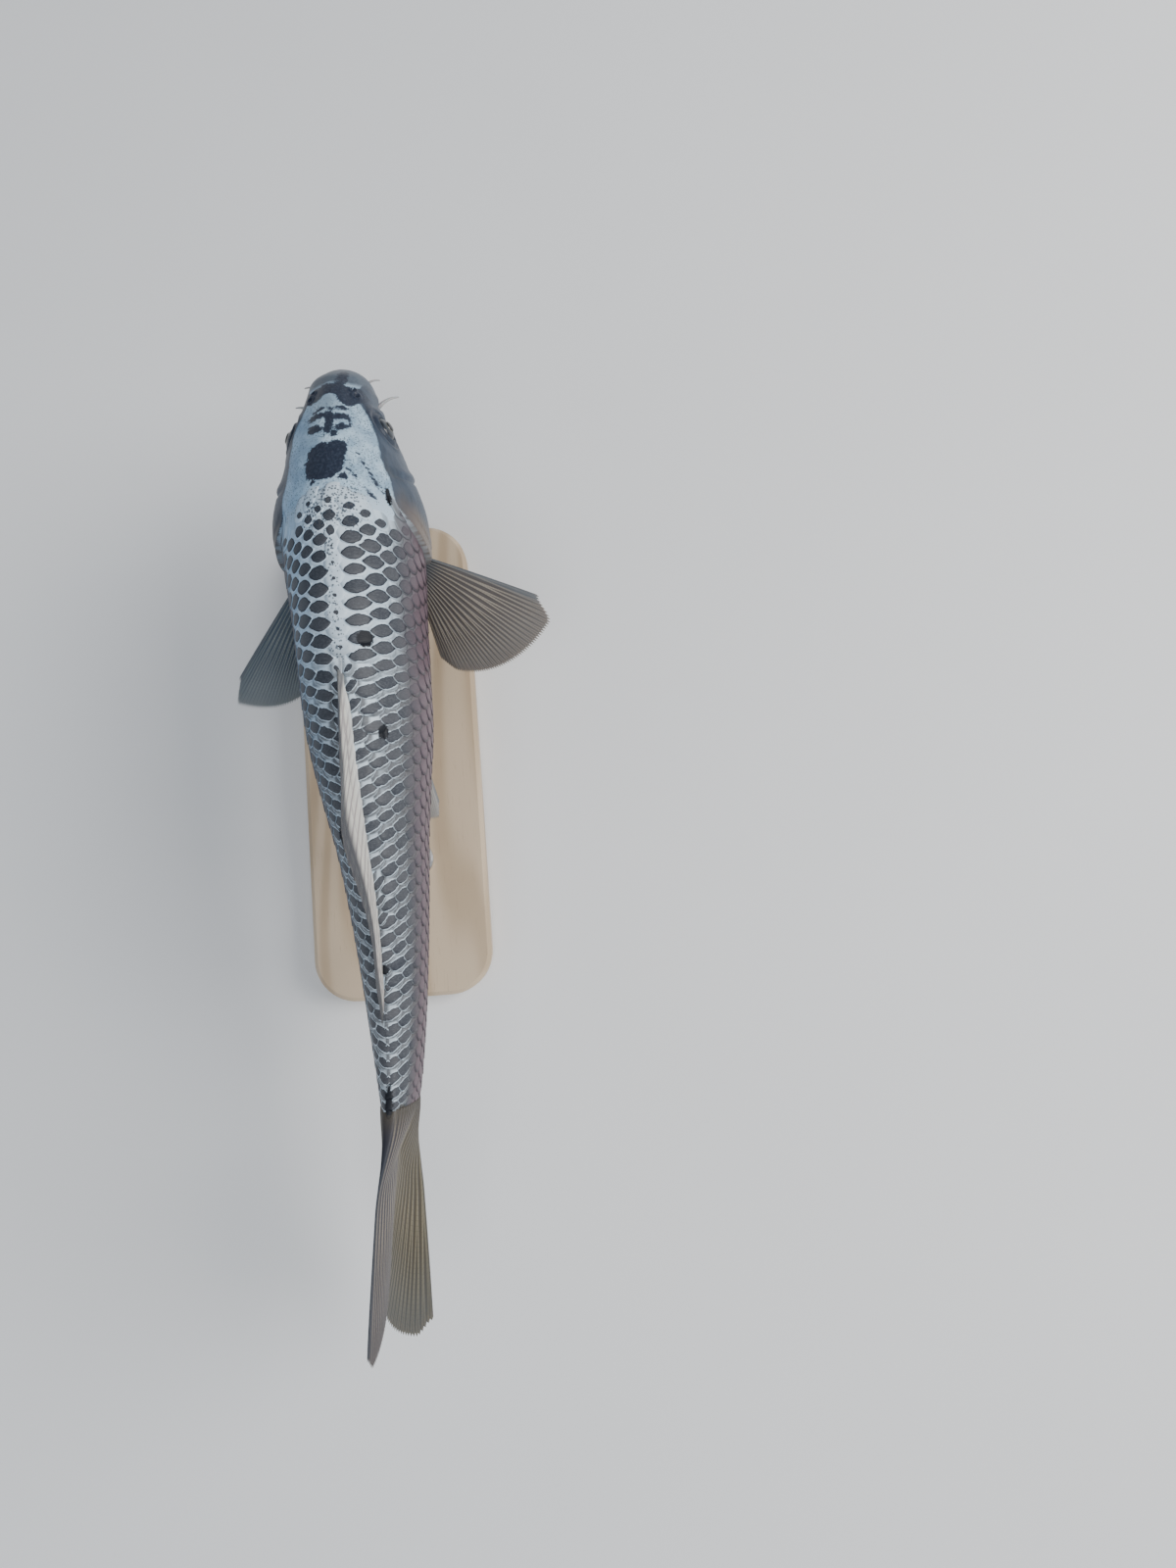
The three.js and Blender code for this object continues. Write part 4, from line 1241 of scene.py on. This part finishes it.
# ---------------------------------------------------------------- materials
def skin_material(markings, freckles):
    material, tree, shader = new_material("koi_skin")
    place = tree.attribute("place")
    density, _, _ = tree.parts("coat")
    marks = use_group(tree, markings, {})
    grain = use_group(tree, freckles, {"Vector": place, "Size": 9.0, "Density": density})["Mask"]
    tint = tree.lay(marks["Ground"], GRAIN, grain, 0.75)
    slate = tree.mix(tree.step(tree.noise(place, 9.0, 4.0), 0.4, 0.7), SLATE, SLATE_LIGHT)
    tint = tree.mix(marks["Slate"], tint, slate)
    tint = tree.mix(marks["Sumi"], tint, SUMI_BLACK)
    pores = tree.noise(place, 16.0, 5.0, 0.65)
    folds = tree.noise(tree.scaled(place, (0.6, 1.6, 1.6)), 5.0, 3.0)
    normal = tree.bump(folds, 0.0003, 0.4, tree.bump(pores, 0.00012, 0.5))
    # the left side's painted shade is multiplied into the skin's colour
    paint(tree, shader, tree.tinted(tint, marks["Shade"]), tree.fit(pores, 0.25, 0.28), normal, {
        "Subsurface Weight": 0.12, "Subsurface Radius": (1.0, 0.6, 0.5), "Subsurface Scale": 0.0012,
        "Specular IOR Level": 0.22, "Coat Weight": 0.05, "Coat Roughness": 0.18,
    })
    return material


def lens(tree, a, b, place, size, rear):
    """Distance from the middle of a scale's dark centre, 1 at its edge: a lens across the scale, slanting
    tailward towards the back, and wider and shorter on the rear half."""
    slant = tree.absolute(tree.fit(b, tree.fit(rear, -0.12, -0.17), tree.minus(a, 0.50)))
    lengthwise = tree.math("POWER", tree.over(slant, tree.fit(rear, -0.06, 0.405)), 1.6)
    crosswise = tree.math("POWER", tree.over(tree.absolute(b), tree.fit(rear, 0.16, 0.82)), 1.5)
    wobble = tree.times(tree.wave(place, 4.2, 3.0), tree.fit(rear, 0.35, 0.55))
    reach = tree.plus(wobble, tree.plus(lengthwise, crosswise))
    return tree.over(reach, tree.times(size, size))


def net_tint(tree, front, rim, net, lace):
    """The pale net between the dark centres: brightest on the back and over each scale's front and rim."""
    lit = tree.most(front, tree.times(tree.step(rim, 0.62, 0.82), 0.8))
    glow = tree.most(tree.step(net, 0.60, 1.0), tree.times(lit, tree.step(net, 0.10, 0.6)))
    return tree.mix(glow, tree.mix(tree.step(net, 0.2, 0.8), NET_DIM, NET), lace)


def rear_tint(tree, front, rim, place, net, lace, reach, grain):
    """Behind the dorsal fin's front: a grey field, with a bright wavy line round the dark centre that shows
    in patches of painted glint.
    """
    field = tree.mix(tree.step(grain, 0.35, 0.65), HALO, HALO_LIGHT)
    # glint: patches of painted highlight, where the rings and the rims shine
    glint = tree.times(tree.step(tree.noise(place, 2.4, 3.0), 0.30, 0.50), tree.step(net, 0.10, 0.5))
    ring = tree.times(tree.step(reach, 0.90, 0.98), tree.step(reach, 1.30, 1.14))
    field = tree.lay(field, lace, tree.times(ring, glint), 0.85)
    outer = tree.times(tree.times(tree.step(rim, 0.86, 0.95), glint), 0.45)
    outer = tree.most(outer, tree.times(tree.step(net, 0.55, 0.85), front))
    return tree.mix(outer, field, lace)


def scale_material(markings, freckles):
    """Each plate: a dark slate centre with a thin darker line round it, in a pale net."""
    material, tree, shader = new_material("koi_scales")
    place = tree.attribute("place")
    marks = use_group(tree, markings, {})
    density, net, mauve = tree.parts("coat")
    a, b, shade = tree.parts("plate")
    size = tree.attribute("centre", "Fac")
    rear = tree.step(tree.fit(tree.noise(place, 0.9), 3.0, tree.split(place)[0]), 14.5, 18.5)
    rear = tree.times(rear, tree.step(size, 0.06, 0.2))
    grain = tree.noise(tree.scaled(place, (2.2, 1.0, 1.0)), 8.0, 4.0, 0.7)
    rim = tree.plus(tree.times(a, a), tree.times(b, b))
    front = tree.times(tree.step(a, 0.42, 0.12), tree.step(tree.absolute(b), 0.50, 0.20))

    reach = lens(tree, a, b, place, size, rear)
    centre = tree.step(reach, tree.fit(rear, -0.10, 1.04), tree.fit(rear, -0.07, 0.92))
    line = tree.times(tree.step(reach, 0.66, 0.86), centre)
    centre = tree.times(centre, tree.step(rim, 1.0, 0.90))
    lace = tree.mix(tree.fit(shade, 0.5, tree.noise(place, 3.0)), NET, NET_LIGHT)
    pale = net_tint(tree, front, rim, net, lace)
    field = rear_tint(tree, front, rim, place, net, lace, reach, grain)
    pale = tree.lay(pale, field, rear, 0.9)
    dark = tree.mix(shade, CENTRE_DARK, CENTRE_LIGHT)
    dark = tree.lay(dark, NET_DIM, tree.step(grain, 0.40, 0.75), 0.5)
    tint = tree.mix(centre, pale, tree.mix(line, dark, CENTRE_LINE))

    # the low flank: mauve grey with a paler middle and a thin dark rim
    low = tree.mix(tree.step(reach, 1.6, 0.2), LOW, LOW_LIGHT)
    low = tree.mix(tree.step(rim, 0.60, 0.95), low, LOW_LINE)
    tint = tree.mix(mauve, tint, low)
    under = tree.mix(tree.step(rim, 0.7, 1.0), BELLY_WARM, LOW_LIGHT)
    tint = tree.lay(tint, under, marks["Belly"], 0.9)
    grains = use_group(tree, freckles, {"Vector": place, "Size": 8.0, "Density": density})["Mask"]
    tint = tree.lay(tint, GRAIN, grains, 0.8)
    tint = tree.mix(marks["Sumi"], tint, SUMI_BLACK)

    ripple = tree.math("SINE", tree.times(tree.math("SQRT", rim), 60.0))
    normal = tree.bump(grain, 0.0001, 0.4, tree.bump(ripple, 0.00003, 0.35))
    # the left side's painted shade is multiplied into the scales' colour
    paint(tree, shader, tree.tinted(tint, marks["Shade"]), tree.fit(grain, 0.22, 0.36), normal, {
        "Specular IOR Level": 0.20, "Coat Weight": 0.04, "Coat Roughness": 0.2,
    })
    return material


def fin_material(name, group, count, tones):
    """Pale rays in a darker web, with a root, a rim and a leading edge of their own."""
    material, tree, shader = new_material(name)
    u, v, _ = tree.parts("fin")
    place = tree.attribute("place")
    across = tree.times(u, float(count))
    pattern = use_group(tree, group, {"Across": across, "Out": v, "Spread": tones["spread"]})
    cloud = tree.noise(tree.scaled(place, (0.35, 3.0, 1.0)), 1.4, 4.0)
    web = tree.mix(cloud, tones["web"], tones["web_light"])
    if tones["folds"]:
        crease = tree.noise(tree.scaled(place, (0.07, 10.0, 1.0)), 1.6, 2.0)
        web = tree.lay(web, tones["ray"], tree.step(crease, 0.50, 0.62), tones["folds"])
    ray = tree.mix(tree.noise(place, 1.1, 2.0), tones["ray"], tones["ray_light"])
    ray = tree.lay(ray, tones["web"], pattern["Joint"], 0.35)
    tint = tree.mix(pattern["Ray"], web, ray)
    tint = tree.mix(tree.step(v, tones["root_reach"], 0.0), tint, tones["root"])
    rim = tree.times(tree.step(v, tones["rim_reach"], tones["rim_full"]), tones["rim_amount"])
    tint = tree.mix(rim, tint, tones["rim"])
    lead = tree.step(u, 0.935, 0.975) if tones["lead_last"] else tree.step(u, 0.07, 0.015)
    lead = tree.times(lead, tree.step(v, 0.0, tones["lead_from"]))
    tint = tree.lay(tint, tones["lead"], lead, tones["lead_amount"])
    height = tree.fit(pattern["Joint"], -0.4, pattern["Ray"])
    normal = tree.bump(cloud, 0.0001, 0.3, tree.bump(height, 0.00012, 0.5))
    paint(tree, shader, tint, tree.fit(cloud, 0.2, 0.30), normal, {
        "Subsurface Weight": 0.15, "Subsurface Radius": (1.0, 0.8, 0.6), "Subsurface Scale": 0.001,
        "Specular IOR Level": 0.20, "Coat Weight": 0.05, "Coat Roughness": 0.2,
    })
    return material


# Tones of each kind of fin: colours of the web, rays, root, rim and leading edge; how far out from the root
# its tone reaches; where the rim's tone starts and is full; strength of the creases; whether the last ray
# leads; and how much the rays fork.
GREY_FIN = {
    "web": (0.048, 0.072, 0.100), "web_light": (0.078, 0.110, 0.142),
    "ray": (0.14, 0.17, 0.18), "ray_light": (0.23, 0.26, 0.265),
    "root": (0.07, 0.085, 0.10), "root_reach": 0.22,
    "rim": (0.17, 0.20, 0.22), "rim_reach": 0.55, "rim_full": 1.0, "rim_amount": 0.6,
    "lead": (0.10, 0.12, 0.14), "lead_amount": 0.7, "lead_last": False, "lead_from": 0.01,
    "folds": 0, "spread": 1.0,
}
BROWN_FIN = GREY_FIN | {
    "web": (0.065, 0.060, 0.060), "web_light": (0.105, 0.095, 0.090),
    "ray": (0.20, 0.18, 0.15), "ray_light": (0.32, 0.29, 0.24), "rim": (0.12, 0.115, 0.115),
}
# The dorsal fin's dark rim and dark leading edge are painted shadow along the folded fin's left edge.
DORSAL_FIN = GREY_FIN | {
    "web": (0.46, 0.44, 0.42), "web_light": (0.66, 0.65, 0.58),
    "ray": (0.24, 0.21, 0.22), "ray_light": (0.42, 0.39, 0.37),
    "root": (0.68, 0.70, 0.68), "root_reach": 0.35,
    "rim": (0.03, 0.035, 0.045), "rim_full": 0.80, "rim_amount": 0.9,
    "lead": (0.04, 0.05, 0.065), "folds": 0.8, "spread": 0.35,
}
LOWER_LOBE = GREY_FIN | {
    "web": (0.046, 0.038, 0.026), "web_light": (0.078, 0.068, 0.048),
    "ray": (0.125, 0.108, 0.072), "ray_light": (0.21, 0.185, 0.13),
    "root": (0.060, 0.052, 0.044), "root_reach": 0.30, "rim": (0.078, 0.088, 0.095),
    "lead": (0.09, 0.085, 0.07), "lead_amount": 0.4, "lead_last": True, "lead_from": 0.3,
}
UPPER_LOBE = LOWER_LOBE | {
    "web": (0.030, 0.029, 0.036), "web_light": (0.050, 0.045, 0.054),
    "ray": (0.14, 0.12, 0.095), "ray_light": (0.27, 0.235, 0.19),
    "root": (0.070, 0.062, 0.052), "root_reach": 0.14, "rim": (0.040, 0.038, 0.050),
    "lead": (0.022, 0.028, 0.040), "lead_amount": 0.9,
}
PALE_FIN = GREY_FIN | {
    "web": (0.16, 0.15, 0.15), "web_light": (0.24, 0.225, 0.215),
    "ray": (0.28, 0.27, 0.25), "ray_light": (0.38, 0.37, 0.34), "rim": (0.22, 0.215, 0.21),
}
# Number of rays and tones of each kind.
FIN_KINDS = {
    "dorsal": (DORSAL_RAYS, DORSAL_FIN), "paired": (PELVIC_RAYS, PALE_FIN),
    "pectoral_left": (PECTORAL_RAYS, GREY_FIN), "pectoral_right": (PECTORAL_RAYS, BROWN_FIN),
    "tail_upper": (LOBE_RAYS, UPPER_LOBE), "tail_lower": (LOBE_RAYS, LOWER_LOBE),
}


def fin_materials(group):
    return {kind: fin_material(f"koi_{kind}", group, *tones) for kind, tones in FIN_KINDS.items()}


def eye_material():
    """Round pupil, a thin gold ring, a dark fibrous iris and a paler outer rim."""
    material, tree, shader = new_material("koi_eye")
    radius, c, n = tree.parts("iris")
    around = tree.node("ShaderNodeCombineXYZ", {0: c, 1: n, 2: tree.times(radius, 0.35)}).outputs[0]
    fibres = tree.noise(around, 9.0, 4.0, 0.7)
    gold = tree.times(tree.step(radius, 0.54, 0.45), tree.step(radius, 0.41, 0.44))
    iris = tree.mix(gold, tree.mix(fibres, IRIS, IRIS_LIGHT), IRIS_GOLD)
    iris = tree.mix(tree.step(radius, 0.62, 0.82), iris, IRIS_EDGE)
    tint = tree.mix(tree.step(radius, 0.425, 0.405), iris, PUPIL)
    tint = tree.mix(tree.step(radius, 0.88, 0.95), tint, LENS_RIM)
    paint(tree, shader, tint, tree.fit(fibres, 0.2, 0.22), tree.bump(fibres, 0.0002, 0.5), {
        "Specular IOR Level": 0.3, "Coat Weight": 0.5, "Coat Roughness": 0.04,
    })
    return material


def barbel_material():
    """Pale mottled skin, darker at the root."""
    material, tree, shader = new_material("koi_feeler")
    t, _, _ = tree.parts("fin")
    mottle = tree.noise(tree.object_place(), 900.0, 3.0)
    tint = tree.mix(tree.step(t, 0.35, 0.0), tree.mix(mottle, FEELER, FEELER_LIGHT), FEELER_ROOT)
    paint(tree, shader, tint, tree.fit(mottle, 0.2, 0.3), tree.bump(mottle, 0.00008, 0.4), {
        "Subsurface Weight": 0.25, "Subsurface Scale": 0.001, "Coat Weight": 0.3,
    })
    return material


def wood_material():
    """Pale ash, oiled, with the grain along the base."""
    material, tree, shader = new_material("stand_ash")
    spot = tree.object_place()
    bend = tree.noise(tree.scaled(spot, (9.0, 1.6, 9.0)), 1.2, 2.0)
    rings = tree.math("SINE", tree.fit(bend, 70.0, tree.times(tree.split(spot)[0], 420.0)))
    pores = tree.noise(tree.scaled(spot, (1500.0, 55.0, 1500.0)), 1.0, 3.0, 0.7)
    tint = tree.mix(tree.step(rings, -1.0, 1.0), ASH, ASH_LIGHT)
    tint = tree.lay(tint, ASH_PORE, tree.step(pores, 0.60, 0.72), 0.5)
    tint = tree.lay(tint, ASH_PALE, tree.noise(spot, 25.0), 0.35)
    paint(tree, shader, tint, tree.fit(pores, 0.2, 0.38), tree.bump(pores, 0.00006, 0.4))
    return material


def steel_material():
    """Brushed stainless rod: the brush marks run round it."""
    material, tree, shader = new_material("stand_brushed_steel")
    spot = tree.object_place()
    brush = tree.noise(tree.scaled(spot, (60.0, 60.0, 5200.0)), 1.0, 2.0)
    rough = tree.fit(brush, 0.16, tree.fit(tree.noise(spot, 70.0, 3.0), 0.12, 0.20))
    normal = tree.bump(brush, 0.00003, 0.4)
    paint(tree, shader, tree.mix(brush, STEEL, STEEL_LIGHT), rough, normal, {"Metallic": 1.0})
    return material


def floor_material():
    material, tree, shader = new_material("studio_floor")
    soft = tree.noise(tree.object_place(), 6.0, 3.0)
    paint(tree, shader, tree.mix(soft, FLOOR, FLOOR_LIGHT), 0.85, None)
    return material


# ---------------------------------------------------------------- studio
FLOOR_SIZE, FLOOR_DROP = 2.2, 0.0004
LIGHT_TARGET = (0, 0, 0.1)
# Place, size, power and tint of each light.
LIGHTS = {
    "key": ((-1.5, -0.2, 1.3), 1.3, 42, (1.0, 0.98, 0.95)),
    "top": ((-0.1, 1.0, 1.9), 1.6, 20, (1, 1, 1)),
    "fill": ((1.3, 0.8, 0.9), 1.2, 4.5, (0.88, 0.94, 1.0)),
}
WORLD_LIGHT, WORLD_SEEN = (0.216, 0.243, 0.285), (0.40, 0.405, 0.415)


def make_floor():
    bm = bmesh.new()
    bmesh.ops.create_grid(bm, x_segments=2, y_segments=2, size=FLOOR_SIZE)
    for vert in bm.verts:
        vert.co.z = -FLOOR_DROP
    floor = to_object(bm, "floor")
    floor.data.materials.append(floor_material())


def make_light(name, place, size, power, tint):
    """Square soft light aimed at the fish."""
    data = bpy.data.lights.new(name, "AREA")
    data.shape = "SQUARE"
    data.size = size
    data.energy = power
    data.color = tint
    light = bpy.data.objects.new(name, data)
    bpy.context.scene.collection.objects.link(light)
    aim = Vector(place) - Vector(LIGHT_TARGET)
    light.matrix_world = Matrix.Translation(place) @ aim.to_track_quat("Z", "Y").to_matrix().to_4x4()


def make_studio():
    make_floor()
    for name, values in LIGHTS.items():
        make_light(name, *values)
    world = bpy.data.worlds.new("studio")
    world.use_nodes = True
    tree = Tree(world.node_tree)
    background = tree.nodes["Background"]
    seen = tree.node("ShaderNodeLightPath").outputs["Is Camera Ray"]
    tree.put(background.inputs["Color"], tree.mix(seen, WORLD_LIGHT, WORLD_SEEN))
    bpy.context.scene.world = world


def dress_stand():
    """The stand keeps its own solids and gets its finishes."""
    wood, steel = wood_material(), steel_material()
    for name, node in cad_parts.items():
        if name.startswith("stand_"):
            finish = wood if name == "stand_base" else steel
            for slot in node.material_slots:
                slot.material = finish


# ---------------------------------------------------------------- the whole model
def build():
    markings, freckles, rays = markings_group(), freckles_group(), rays_group()
    make_skin(skin_material(markings, freckles))
    flank = FlankMap()
    plate = make_plate()
    scales = scale_material(markings, freckles)
    for name, side in SIDES.items():
        make_scales(f"scales_{name}", flank, side, plate, scales)
    bpy.data.meshes.remove(plate)
    make_fins(fin_materials(rays))
    eye = eye_material()
    feeler = barbel_material()
    for name, side in SIDES.items():
        make_eye(f"eyeball_{name}", side, eye)
        for kind, shape in BARBELS.items():
            make_barbel(f"feeler_{kind}_{name}", side, shape, feeler)
    dress_stand()
    make_studio()


build()
